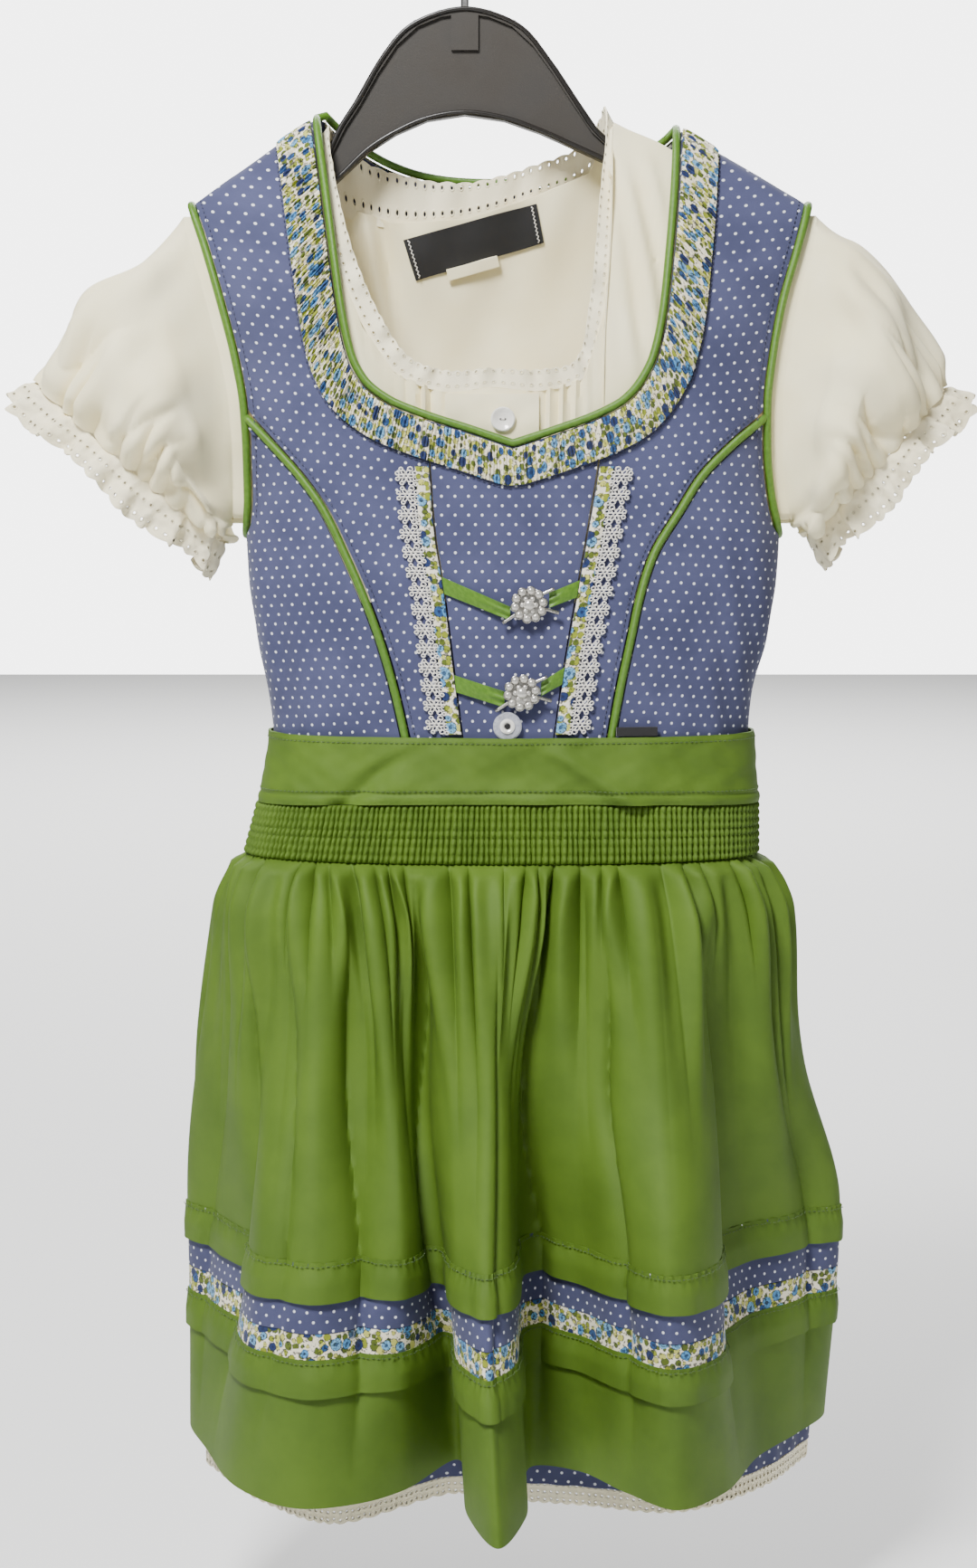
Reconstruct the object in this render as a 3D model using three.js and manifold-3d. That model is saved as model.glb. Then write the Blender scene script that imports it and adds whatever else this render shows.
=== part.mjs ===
// A child's dirndl set on a hanger: a piped bodice with a gathered skirt, a puff-sleeved blouse under it and a
// shirred, banded apron over it. Millimetres, +Z up, the front faces -Y.
// The origin is the point where the hanger's hook bears on its rail. The garment is drawn in a group of its own,
// whose origin is the middle of the waist, so the heights in its tables are heights above the waist.
import * as THREE from "three";
import Module from "manifold-3d";
import { mergeVertices } from "three/addons/utils/BufferGeometryUtils.js";

const wasm = await Module();
wasm.setup();

// ---------- Driving dimensions ----------
const WAIST = { x: 22, z: -376 }; // the middle of the waist, from the hook
const CLOTH = 1.2; // thickness of a cloth wall
const SEAM = 0.3; // gap between pieces that are sewn together
const SPLIT = 0.5; // how far the front and the back stop from the plane between them
const PIPING = 1.8; // radius of the corded piping
const PIPED = PIPING + SEAM; // how far a panel stops from the middle of its piping
const BLOUSE_INSET = 4.5; // how far the blouse lies inside the bodice
const SHOULDER_ROLL = 130; // drop over which a shoulder rounds out to the full depth
const ROUNDNESS = 2.5; // exponent of the rings' superellipse
const WAIST_SEAM = -12; // bodice meets skirt, under the apron's band
const BAND_TOP = 1;
const BAND_LIFT = 1.8; // the band passes over the ends of the piping
const PIPING_FOOT = -11.5;
const BAND_BOTTOM = -28.5;
const SHIRR_BOTTOM = -55;
const TUCK_SEAM = -221; // stitch line of the upper tuck
const TUCK_EDGE = -238;
const BAND_SEAM = -251; // dotted band meets floral band
const FLORAL_SEAM = -262;
const LOWER_TUCK_EDGE = -278;
const APRON_HEM = -325;
const SKIRT_HEM = -338;
const LACE_HEM = -346;
const BLOUSE_HEM = 60;
const UNDERARM = 94; // of the blouse; the bodice's lies lower
const RUFFLE_WIDTH = 18.5;
const TRIM_EDGE = 0.5; // from the centre panel's seam to the floral strip
const FLORAL_STRIP = 6.5;
const LACE_STRIP = 10;
const STRIP_LIFT = 1.6;

// Half widths of the torso left and right of the middle, and its depths, by height. Above the underarm the
// widths run on past the armholes, which cut them off.
const TORSO = [
  { z: -55, left: 118.7, right: 112.3, front: 46, back: 32 },
  { z: -30, left: 112.2, right: 112.0, front: 44, back: 30 },
  { z: 0, left: 106.6, right: 108.4, front: 41, back: 27 },
  { z: 46, left: 114.4, right: 117.3, front: 40, back: 26 },
  { z: 69, left: 117.4, right: 121.1, front: 39, back: 26 },
  { z: 89, left: 118.0, right: 121.7, front: 38, back: 26 },
  { z: 113, left: 119.0, right: 119.5, front: 38, back: 26 },
  { z: 133, left: 122.5, right: 121.0, front: 38, back: 27 },
  { z: 169, left: 131.0, right: 127.0, front: 38, back: 28 },
  { z: 217, left: 152.0, right: 144.0, front: 38, back: 30 },
  { z: 275, left: 175.0, right: 166.0, front: 38, back: 30 },
];
// The shoulder lines. Across the neck opening the dress's line only shapes the back, so it rises over the blouse.
const DRESS_SHOULDER = [
  { x: -141.1, z: 235 },
  { x: -85.1, z: 273 },
  { x: -40, z: 285 },
  { x: 36, z: 284 },
  { x: 74.4, z: 268.3 },
  { x: 133.2, z: 235 },
];
const BLOUSE_SHOULDER = [
  { x: -134, z: 230 },
  { x: -100, z: 254.5 },
  { x: -83.5, z: 265.5 },
  { x: 46, z: 271.5 },
  { x: 74, z: 262.5 },
  { x: 126, z: 230.5 },
];
// Seam lines: distance from the middle on each side, by height.
const NECKLINE = [
  { z: 129.5, left: -1.6, right: 1.6 },
  { z: 135.8, left: 17, right: 21 },
  { z: 142, left: 36.5, right: 38 },
  { z: 148.5, left: 52.3, right: 50 },
  { z: 157, left: 63, right: 57.5 },
  { z: 168, left: 68.8, right: 62.9 },
  { z: 187, left: 73, right: 67 },
  { z: 208, left: 76, right: 69.3 },
  { z: 240, left: 80.3, right: 72.2 },
  { z: 273, left: 85.1, right: 74.4 },
];
const ARMHOLE = [
  { z: 89, left: 118, right: 121.7 },
  { z: 106, left: 116.6, right: 117.4 },
  { z: 126, left: 116.6, right: 114.9 },
  { z: 146, left: 117.5, right: 114.4 },
  { z: 167, left: 121, right: 116.4 },
  { z: 191, left: 127, right: 120.6 },
  { z: 215, left: 134, right: 127.5 },
  { z: 235, left: 141.1, right: 133.2 },
];
const PRINCESS = [
  { z: -12, left: 43, right: 43 },
  { z: 22, left: 50.6, right: 49 },
  { z: 43, left: 56.7, right: 53.4 },
  { z: 64, left: 64.5, right: 57.9 },
  { z: 81, left: 72, right: 63.5 },
  { z: 100, left: 81.3, right: 75 },
  { z: 115, left: 92, right: 84.6 },
  { z: 129, left: 104.7, right: 98.5 },
  { z: 141, left: 116.3, right: 113.5 },
];
const TRIM_SEAM = [
  { z: -12, left: 18.7, right: 18 },
  { z: 35, left: 24.6, right: 24.6 },
  { z: 66, left: 28.4, right: 30 },
  { z: 90, left: 32.3, right: 34.2 },
  { z: 120, left: 34.6, right: 39.1 },
  { z: 142, left: 36.4, right: 41.5 },
];
const BACK_NECK = { low: 247, reach: 80, rise: 26 };

// Neck edge of the blouse, from its left shoulder down and round to its right one, and how far the frill's free
// edge lies from it: inwards and up at the front, straight up at the back.
const BLOUSE_NECK_FRONT = [
  { x: -83.5, z: 265.5, alongX: 3.5, alongZ: 4 },
  { x: -82, z: 246, alongX: 5, alongZ: 2 },
  { x: -76, z: 210, alongX: 8, alongZ: 2 },
  { x: -64, z: 180, alongX: 8, alongZ: 4 },
  { x: -50, z: 160, alongX: 7, alongZ: 6 },
  { x: -28, z: 151.5, alongX: 1, alongZ: 9 },
  { x: -8, z: 153.5, alongX: 0, alongZ: 8 },
  { x: 14, z: 152, alongX: -1, alongZ: 9 },
  { x: 33, z: 158, alongX: -4, alongZ: 7 },
  { x: 42, z: 188, alongX: -7, alongZ: 2 },
  { x: 45, z: 228, alongX: -6, alongZ: 1 },
  { x: 46, z: 271.5, alongX: -3, alongZ: 6 },
];
const BLOUSE_NECK_BACK = [
  { x: -83.5, z: 265.5 },
  { x: -80, z: 254, alongX: 4, alongZ: 5 },
  { x: -77, z: 237 },
  { x: -52, z: 229 },
  { x: -20, z: 231 },
  { x: 10, z: 240 },
  { x: 36, z: 251 },
  { x: 46, z: 271.5 },
];
const BACK_FRILL = 13;

// Sleeve rings, from the armhole to the elastic of the cuff: the top and the underarm point, and half the depth.
const SLEEVES = {
  left: [
    { topX: -140, topZ: 229, lowX: -120, lowZ: 94, depth: 15 },
    { topX: -150, topZ: 222, lowX: -124.5, lowZ: 93, depth: 22 },
    { topX: -166, topZ: 213, lowX: -126, lowZ: 92, depth: 35 },
    { topX: -187, topZ: 198, lowX: -127, lowZ: 90.5, depth: 42 },
    { topX: -199.5, topZ: 177, lowX: -128, lowZ: 88.5, depth: 38 },
    { topX: -210, topZ: 156, lowX: -129, lowZ: 86.5, depth: 26 },
  ],
  right: [
    { topX: 132, topZ: 229, lowX: 123, lowZ: 94, depth: 15 },
    { topX: 142, topZ: 224, lowX: 127.5, lowZ: 93.5, depth: 22 },
    { topX: 157, topZ: 215, lowX: 130.5, lowZ: 93, depth: 35 },
    { topX: 173, topZ: 199, lowX: 132.5, lowZ: 92, depth: 42 },
    { topX: 183, topZ: 178, lowX: 134, lowZ: 91, depth: 38 },
    { topX: 194, topZ: 154, lowX: 135.5, lowZ: 90, depth: 26 },
  ],
};
const SLEEVE_GATHERS = 12;
// How the sleeve passes under the armhole's piping: where it starts beside the body, how long it keeps the
// armhole's outline, the shares of its length at which that ends and the full puff is reached, and its least half
// depth.
const TUNNEL = { start: 1.8, length: 9, share: 0.1, end: 0.32, depth: 2 };
const CUFF_FRILL = { width: 14, flare: 3, waves: 12 };

// The apron's folds, from its left edge round the front to its right edge. Each row is one line that runs down
// the cloth: its angle round the waist at the shirring, then x and y at mid height, at the tuck and at the hem.
const APRON_FOLDS = [
  { fold: "left back edge", top: -106, midX: -138, midY: 26, tuckX: -143, tuckY: 38, hemX: -141, hemY: 30 },
  { fold: "left side", top: -92, midX: -144.7, midY: 4, tuckX: -151, tuckY: 10, hemX: -149, hemY: 2 },
  { fold: "left hollow", top: -66, midX: -124, midY: -36, tuckX: -125, tuckY: -34, hemX: -137, hemY: -38 },
  { fold: "left lobe edge", top: -47, midX: -104, midY: -58, tuckX: -109, tuckY: -84, hemX: -119, hemY: -84 },
  { fold: "left lobe", top: -40, midX: -86, midY: -72, tuckX: -87, tuckY: -94, hemX: -92, hemY: -108 },
  { fold: "left dip", top: -33, midX: -64, midY: -63, tuckX: -64, tuckY: -88, hemX: -66, hemY: -103 },
  { fold: "left ridge", top: -26, midX: -51, midY: -71, tuckX: -46, tuckY: -90, hemX: -46, hemY: -87 },
  { fold: "left valley", top: -16, midX: -39, midY: -56, tuckX: -31, tuckY: -72, hemX: -23, hemY: -50 },
  { fold: "centre left", top: -10, midX: -25, midY: -72, tuckX: -23, tuckY: -98, hemX: -18, hemY: -116 },
  { fold: "centre", top: -3, midX: -9, midY: -80, tuckX: -10, tuckY: -111, hemX: -5, hemY: -152 },
  { fold: "centre right", top: 2, midX: 0, midY: -72, tuckX: 1, tuckY: -98, hemX: 7, hemY: -118 },
  { fold: "right valley", top: 6, midX: 10, midY: -57, tuckX: 9, tuckY: -54, hemX: 11, hemY: -58 },
  { fold: "right hollow", top: 11, midX: 28, midY: -60, tuckX: 31, tuckY: -66, hemX: 31, hemY: -64 },
  { fold: "right lobe edge", top: 16, midX: 41, midY: -69, tuckX: 49, tuckY: -97, hemX: 51, hemY: -90 },
  { fold: "right lobe", top: 24, midX: 65, midY: -82, tuckX: 67, tuckY: -113, hemX: 72, hemY: -110 },
  { fold: "right lobe far", top: 36, midX: 84, midY: -68, tuckX: 88, tuckY: -98, hemX: 94, hemY: -90 },
  { fold: "right hollow 2", top: 50, midX: 103, midY: -38, tuckX: 108, tuckY: -32, hemX: 113, hemY: -46 },
  { fold: "right ridge", top: 63, midX: 123, midY: -30, tuckX: 132, tuckY: -16, hemX: 134, hemY: -16 },
  { fold: "right side", top: 92, midX: 136, midY: 2, tuckX: 156, tuckY: 4, hemX: 150, hemY: 12 },
  { fold: "right back edge", top: 106, midX: 130, midY: 26, tuckX: 150, tuckY: 34, hemX: 146, hemY: 38 },
];
const LOWEST_SECTION = -345;
const NEAR = 0.012; // the stretch of cloth over which a drape's outward direction is taken
const FOLD_HEIGHT = { top: SHIRR_BOTTOM, puff: -80, mid: -148, tuck: TUCK_SEAM, hem: APRON_HEM };
const PUFF_SHARE = 0.45; // how much of its way to mid height the cloth has gone at the puff
const APRON_GATHERS = 20;
const GATHER_DEPTH = 2.6;
const SHIRR_RIBS = 42;
const BAND_COLUMNS = 40;
// The skirt's own, shallower folds under the apron, from its left side seam to its right one.
const SKIRT_FRONT_FOLDS = [
  { fold: "left side", top: -92, midX: -140, midY: 4, tuckX: -145, tuckY: 10, hemX: -144, hemY: 4 },
  { fold: "left lobe edge", top: -52, midX: -105, midY: -42, tuckX: -106, tuckY: -45, hemX: -112, hemY: -46 },
  { fold: "left lobe", top: -36, midX: -75, midY: -55, tuckX: -75, tuckY: -66, hemX: -77, hemY: -72 },
  { fold: "left valley", top: -17, midX: -38, midY: -46, tuckX: -31, tuckY: -56, hemX: -25, hemY: -40 },
  { fold: "centre", top: -4, midX: -10, midY: -46, tuckX: -10, tuckY: -46, hemX: -6, hemY: -44 },
  { fold: "centre right", top: 12, midX: 28, midY: -48, tuckX: 30, tuckY: -46, hemX: 31, hemY: -50 },
  { fold: "right lobe", top: 30, midX: 72, midY: -46, tuckX: 74, tuckY: -50, hemX: 76, hemY: -58 },
  { fold: "right hollow", top: 56, midX: 110, midY: -24, tuckX: 116, tuckY: -14, hemX: 118, hemY: -26 },
  { fold: "right side", top: 92, midX: 131, midY: 2, tuckX: 149, tuckY: 6, hemX: 145, hemY: 12 },
];
const SKIRT_INSET = 4; // the skirt hangs this far inside the apron's shirring
const SKIRT_BACK_DEPTH = [
  { z: LACE_HEM, depth: 58 },
  { z: TUCK_SEAM, depth: 54 },
  { z: -148, depth: 48 },
  { z: SHIRR_BOTTOM, depth: 30 },
  { z: WAIST_SEAM, depth: 27 },
];
const SKIRT_GATHERS = 18;
const SKIRT_FOLDS = 6;
const SIDE_GAP = 1; // between the edges of the skirt's front and back

// ---------- Colours ----------
const finish = (r, g, b, roughness = 0.85, metalness = 0) =>
  new THREE.MeshStandardMaterial({
    color: new THREE.Color().setRGB(r, g, b, THREE.SRGBColorSpace),
    roughness,
    metalness,
  });
const FINISH = {
  dotted: finish(0.43, 0.45, 0.6),
  apron: finish(0.42, 0.56, 0.2, 0.6),
  piping: finish(0.45, 0.65, 0.2, 0.5),
  floral: finish(0.75, 0.78, 0.68),
  blouse: finish(0.92, 0.89, 0.83),
  lace: finish(0.88, 0.86, 0.82),
  label: finish(0.05, 0.05, 0.05, 0.6),
  button: finish(0.9, 0.9, 0.88, 0.2),
  clasp: finish(0.78, 0.76, 0.7, 0.25, 0.9),
  hanger: finish(0.32, 0.3, 0.28, 0.55),
  wire: finish(0.7, 0.7, 0.7, 0.3, 1),
};

// ---------- Numbers and lines ----------
const { lerp, clamp, smoothstep, degToRad } = THREE.MathUtils;
const V = (x, y, z) => new THREE.Vector3(x, y, z);
const span = (n) => Array.from({ length: n + 1 }, (_, i) => i / n);
const signedPower = (a, p) => Math.sign(a) * Math.abs(a) ** p;

// A smooth curve that never overshoots, through one column of a table as another column grows.
function curve(rows, along, of) {
  const ascending = [...rows].sort((a, b) => a[along] - b[along]);
  const xs = ascending.map((row) => row[along]);
  const ys = ascending.map((row) => row[of]);
  const last = xs.length - 1;
  const rise = ys.slice(1).map((y, i) => (y - ys[i]) / (xs[i + 1] - xs[i]));
  const slope = ys.map((_, i) => {
    if (i === 0) return rise[0];
    if (i === last) return rise[last - 1];
    const product = rise[i - 1] * rise[i];
    return product <= 0 ? 0 : (2 * product) / (rise[i - 1] + rise[i]);
  });
  return (at) => {
    if (at <= xs[0]) return ys[0] + slope[0] * (at - xs[0]);
    if (at >= xs[last]) return ys[last] + slope[last] * (at - xs[last]);
    let i = 0;
    while (at > xs[i + 1]) i++;
    const step = xs[i + 1] - xs[i];
    const t = (at - xs[i]) / step;
    const keep = (1 + 2 * t) * (1 - t) ** 2;
    return (
      keep * ys[i] +
      (1 - keep) * ys[i + 1] +
      step * t * (1 - t) * ((1 - t) * slope[i] - t * slope[i + 1])
    );
  };
}
const straight = (rows, along, of) => (at) => {
  const i = clamp(rows.findIndex((row) => row[along] > at), 1, rows.length - 1);
  const [a, b] = at >= rows[rows.length - 1][along] ? rows.slice(-2) : [rows[i - 1], rows[i]];
  return lerp(a[of], b[of], (at - a[along]) / (b[along] - a[along]));
};

// A seam line on one side as points {x, z}, from its lower end up.
function seamLine(rows, side, steps = 48) {
  const distance = curve(rows, "z", side < 0 ? "left" : "right");
  const low = rows[0].z;
  const high = rows[rows.length - 1].z;
  return span(steps).map((t) => {
    const z = lerp(low, high, t);
    return { x: side * distance(z), z };
  });
}
// The line moved sideways in the plane of x and z; d is positive to the right of its direction.
function moved(line, d) {
  return line.map((p, i) => {
    const a = line[Math.max(i - 1, 0)];
    const b = line[Math.min(i + 1, line.length - 1)];
    const length = Math.hypot(b.x - a.x, b.z - a.z);
    return { x: p.x + (d * (b.z - a.z)) / length, z: p.z - (d * (b.x - a.x)) / length };
  });
}
const above = (line, z) => line.filter((p) => p.z >= z);
const below = (line, z) => line.filter((p) => p.z <= z);
// The point at a share of the line's length, or of its number of points.
function byLength(line) {
  const run = [0];
  for (let i = 1; i < line.length; i++) {
    run.push(run[i - 1] + Math.hypot(line[i].x - line[i - 1].x, line[i].z - line[i - 1].z));
  }
  const total = run[run.length - 1];
  return (t) => {
    const at = clamp(t, 0, 1) * total;
    let i = 1;
    while (i < line.length - 1 && run[i] < at) i++;
    const share = (at - run[i - 1]) / (run[i] - run[i - 1] || 1);
    return {
      x: lerp(line[i - 1].x, line[i].x, share),
      z: lerp(line[i - 1].z, line[i].z, share),
    };
  };
}
function byIndex(line) {
  return (t) => {
    const at = clamp(t, 0, 1) * (line.length - 1);
    const i = Math.min(Math.floor(at), line.length - 2);
    return { x: lerp(line[i].x, line[i + 1].x, at - i), z: lerp(line[i].z, line[i + 1].z, at - i) };
  };
}
// Two lines run through one after the other, with their corner at a given share.
const bent = (low, high, corner) => (t) =>
  t < corner ? byLength(low)(t / corner) : byLength([low[low.length - 1], ...high])((t - corner) / (1 - corner));
const straightTo = (a, b) => (t) => ({ x: lerp(a.x, b.x, t), z: lerp(a.z, b.z, t) });

// ---------- The torso that every piece above the apron's shirring lies on ----------
const torso = Object.fromEntries(
  ["left", "right", "front", "back"].map((column) => [column, curve(TORSO, "z", column)]),
);
const DRESS = { inset: 0, shoulder: straight(DRESS_SHOULDER, "x", "z") };
const BLOUSE = { inset: BLOUSE_INSET, shoulder: straight(BLOUSE_SHOULDER, "x", "z") };

const BEYOND = 1; // a border point this far past the widest line is drawn onto it
const halfWidth = (side, z, layer) => (side < 0 ? torso.left(z) : torso.right(z)) - layer.inset;
// Angle round the torso: 0 at the front, 90 degrees at the right side, 180 at the back, -90 or 270 at the left.
function angleOf(x, z, face, layer) {
  const share = Math.min(Math.abs(x) / halfWidth(x, z, layer), 1);
  const angle = Math.asin(share ** (ROUNDNESS / 2)) * (Math.sign(x) || 1);
  return face > 0 ? angle : Math.PI - angle;
}
// `shift` moves the point back, so that a front and a back stop short of each other.
function onTorso(angle, z, layer, shift = 0) {
  const x = signedPower(Math.sin(angle), 2 / ROUNDNESS) * halfWidth(Math.sin(angle), z, layer);
  const facing = Math.cos(angle);
  const depth = (facing > 0 ? torso.front(z) : torso.back(z)) - layer.inset;
  const roof = layer.shoulder(x);
  const drop = clamp((roof - z) / SHOULDER_ROLL, 0, 1);
  const round = Math.sqrt(drop * (2 - drop));
  const half = depth * Math.abs(facing) ** (2 / ROUNDNESS) * round;
  return V(x, -Math.sign(facing) * half - shift, Math.min(z, roof));
}
// The same by x, on the front (face 1) or on the back (face -1).
const atTorso = (x, z, face, layer) => onTorso(angleOf(x, z, face, layer), z, layer, face * SPLIT);

// A panel between four border lines in the plane of x and z, laid on the torso. u runs round the body
// anticlockwise from above, v runs up.
// A higher `fade` keeps the side borders' bends out of the middle.
function panel(layer, face, { left, right, bottom, top, fade = 1 }) {
  const flat = (line) => (t) => {
    const p = line(t);
    return { a: angleOf(p.x, p.z, face, layer), z: p.z };
  };
  const [l, r, b, t] = [left, right, bottom, top].map(flat);
  return (u, v) => {
    const blend = (key) =>
      lerp(b(u)[key], t(u)[key], v) +
      clamp(1 - u, 0, 1) ** fade * (l(v)[key] - lerp(b(0)[key], t(0)[key], v)) +
      clamp(u, 0, 1) ** fade * (r(v)[key] - lerp(b(1)[key], t(1)[key], v));
    return onTorso(blend("a"), blend("z"), layer, face * SPLIT);
  };
}
// A strip along a path in the plane of x and z: v runs from distance `from` to distance `to` beside it.
function stripBeside(path, from, to) {
  const onCloth = (p) => p.z < DRESS.shoulder(p.x) - 0.2;
  const near = byLength(moved(path, from).filter(onCloth));
  const far = byLength(moved(path, to).filter(onCloth));
  return (u, v) => {
    const a = near(u);
    const b = far(u);
    return { x: lerp(a.x, b.x, v), z: lerp(a.z, b.z, v) };
  };
}

// ---------- Walls, cords and booleans ----------
// The outward normal of a surface whose u and v turn anticlockwise seen from outside.
function normalAt(surface, u, v) {
  const e = 1e-3;
  const du = surface(u + e, v).sub(surface(u - e, v));
  const dv = surface(u, Math.min(v + e, 1)).sub(surface(u, Math.max(v - e, 0)));
  return du.cross(dv).normalize();
}
// The surface moved out of itself by a distance, which may depend on u and v.
const lifted = (surface, by) => (u, v) =>
  surface(u, v).addScaledVector(normalAt(surface, u, v), typeof by === "function" ? by(u, v) : by);

function closedGeometry(points, faces) {
  let volume = 0;
  for (const [a, b, c] of faces) {
    volume += points[a].dot(points[b].clone().cross(points[c]));
  }
  const turned = volume < 0 ? faces.map(([a, b, c]) => [a, c, b]) : faces;
  const geometry = new THREE.BufferGeometry();
  const flat = new Float32Array(points.flatMap((p) => p.toArray()));
  geometry.setAttribute("position", new THREE.BufferAttribute(flat, 3));
  geometry.setIndex(turned.flat());
  geometry.computeVertexNormals();
  return geometry;
}

// A wall of cloth between an outer and an inner surface. `across` and `up` are the shares of u and v at its
// columns and rows. A plain inside has only its two border rows.
function wall(outer, inner, across, up, { loop = false, plainInside = false } = {}) {
  const inside = plainInside ? [up[0], up[up.length - 1]] : up;
  const points = [];
  const grid = (surface, rows) =>
    rows.map((v) => across.slice(0, loop ? -1 : undefined).map((u) => points.push(surface(u, v)) - 1));
  const out = grid(outer, up);
  const back = grid(inner, inside);
  const faces = [];
  const quad = (a, b, c, d) => faces.push([a, b, c], [a, c, d]);
  const columns = out[0].length;
  const cells = loop ? columns : columns - 1;
  const top = back.length - 1;
  for (let i = 0; i < cells; i++) {
    const k = (i + 1) % columns;
    for (let j = 0; j < out.length - 1; j++) quad(out[j][i], out[j][k], out[j + 1][k], out[j + 1][i]);
    for (let j = 0; j < top; j++) quad(back[j][i], back[j + 1][i], back[j + 1][k], back[j][k]);
    quad(out[0][k], out[0][i], back[0][i], back[0][k]);
    quad(out[out.length - 1][i], out[out.length - 1][k], back[top][k], back[top][i]);
  }
  if (!loop) {
    for (const [i, turned] of [[0, false], [columns - 1, true]]) {
      const side = [...out.map((row) => row[i]), ...back.map((row) => row[i]).reverse()];
      if (plainInside) {
        const corner = side[side.length - 1];
        for (let j = 0; j < side.length - 2; j++) {
          faces.push(turned ? [corner, side[j + 1], side[j]] : [corner, side[j], side[j + 1]]);
        }
      } else {
        for (let j = 0; j < out.length - 1; j++) {
          const ring = [out[j][i], out[j + 1][i], back[j + 1][i], back[j][i]];
          quad(...(turned ? ring.reverse() : ring));
        }
      }
    }
  }
  return closedGeometry(points, faces);
}
// A wall whose outer face is the surface and whose inner face lies a thickness behind it.
const cloth = (surface, across, up, options = {}) =>
  wall(
    lifted(surface, options.lift ?? 0),
    lifted(surface, (options.lift ?? 0) - (options.thick ?? CLOTH)),
    across,
    up,
    options,
  );

// A round cord along points; `facing` gives a direction that is never along it.
function cord(points, radius, sides, facing, closed = false) {
  const count = points.length;
  const vertices = [];
  points.forEach((p, i) => {
    const before = points[closed ? (i + count - 1) % count : Math.max(i - 1, 0)];
    const after = points[closed ? (i + 1) % count : Math.min(i + 1, count - 1)];
    const along = after.clone().sub(before).normalize();
    const across = along.clone().cross(facing(p)).normalize();
    const over = across.clone().cross(along);
    for (let k = 0; k < sides; k++) {
      const turn = (2 * Math.PI * k) / sides;
      const spoke = across.clone().multiplyScalar(Math.cos(turn)).addScaledVector(over, Math.sin(turn));
      vertices.push(p.clone().addScaledVector(spoke, radius));
    }
  });
  const faces = [];
  for (let i = 0; i < (closed ? count : count - 1); i++) {
    for (let k = 0; k < sides; k++) {
      const [a, b] = [i * sides + k, i * sides + ((k + 1) % sides)];
      const [c, d] = [((i + 1) % count) * sides + k, ((i + 1) % count) * sides + ((k + 1) % sides)];
      faces.push([a, b, d], [a, d, c]);
    }
  }
  if (!closed) {
    const end = (count - 1) * sides;
    for (let k = 1; k < sides - 1; k++) {
      faces.push([0, k + 1, k], [end, end + k, end + k + 1]);
    }
  }
  return closedGeometry(vertices, faces);
}

function solidOf(geometry) {
  const bare = geometry.clone();
  bare.deleteAttribute("normal");
  bare.deleteAttribute("uv");
  const merged = mergeVertices(bare, 1e-4);
  return new wasm.Manifold(
    new wasm.Mesh({
      numProp: 3,
      vertProperties: merged.attributes.position.array,
      triVerts: new Uint32Array(merged.index.array),
    }),
  );
}
function geometryOf(solid) {
  const mesh = solid.getMesh();
  const geometry = new THREE.BufferGeometry();
  geometry.setAttribute("position", new THREE.BufferAttribute(mesh.vertProperties, 3));
  geometry.setIndex(new THREE.BufferAttribute(mesh.triVerts, 1));
  return geometry;
}
const union = (...geometries) =>
  geometryOf(geometries.map(solidOf).reduce((whole, piece) => whole.add(piece)));

// ---------- The scene graph ----------
const dirndl = new THREE.Group();
const garment = new THREE.Group();
garment.position.set(WAIST.x, 0, WAIST.z);
dirndl.add(garment);
function add(name, geometry, material, group = garment) {
  const mesh = new THREE.Mesh(geometry, material);
  mesh.name = name;
  group.add(mesh);
  return mesh;
}
const SIDES = { left: -1, right: 1 };

// ---------- Hanger and hook ----------
const HANGER = { web: 2, rim: 3.5, rimWidth: 3, boss: 12, bossHeight: 18, bore: 2.1, boreDepth: 14 };
const HANGER_MIDDLE = -19.5;
const HANGER_TOP = [
  [-134, 213], [-132, 221], [-118, 231], [-100, 243.5], [-84, 254], [-75, 270], [-67, 282], [-57, 299],
  [-46, 312], [-33, 318.5], [-19.5, 321], [-6, 318.5], [7, 312], [18, 299], [29, 283], [39, 268.5],
  [50, 259.5], [74, 250.5], [100, 236.5], [122, 223], [124, 215],
];
const HANGER_ARCH = [
  [118, 212], [96, 225.5], [72, 239], [50, 250], [30, 259], [14, 266], [-2, 271.5], [-19.5, 274],
  [-36, 271.5], [-50, 265.5], [-62, 258], [-76, 245], [-94, 232.5], [-116, 218], [-128, 209.5],
];
const WIRE = 1.75;
const HOOK_RADIUS = 20;

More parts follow.
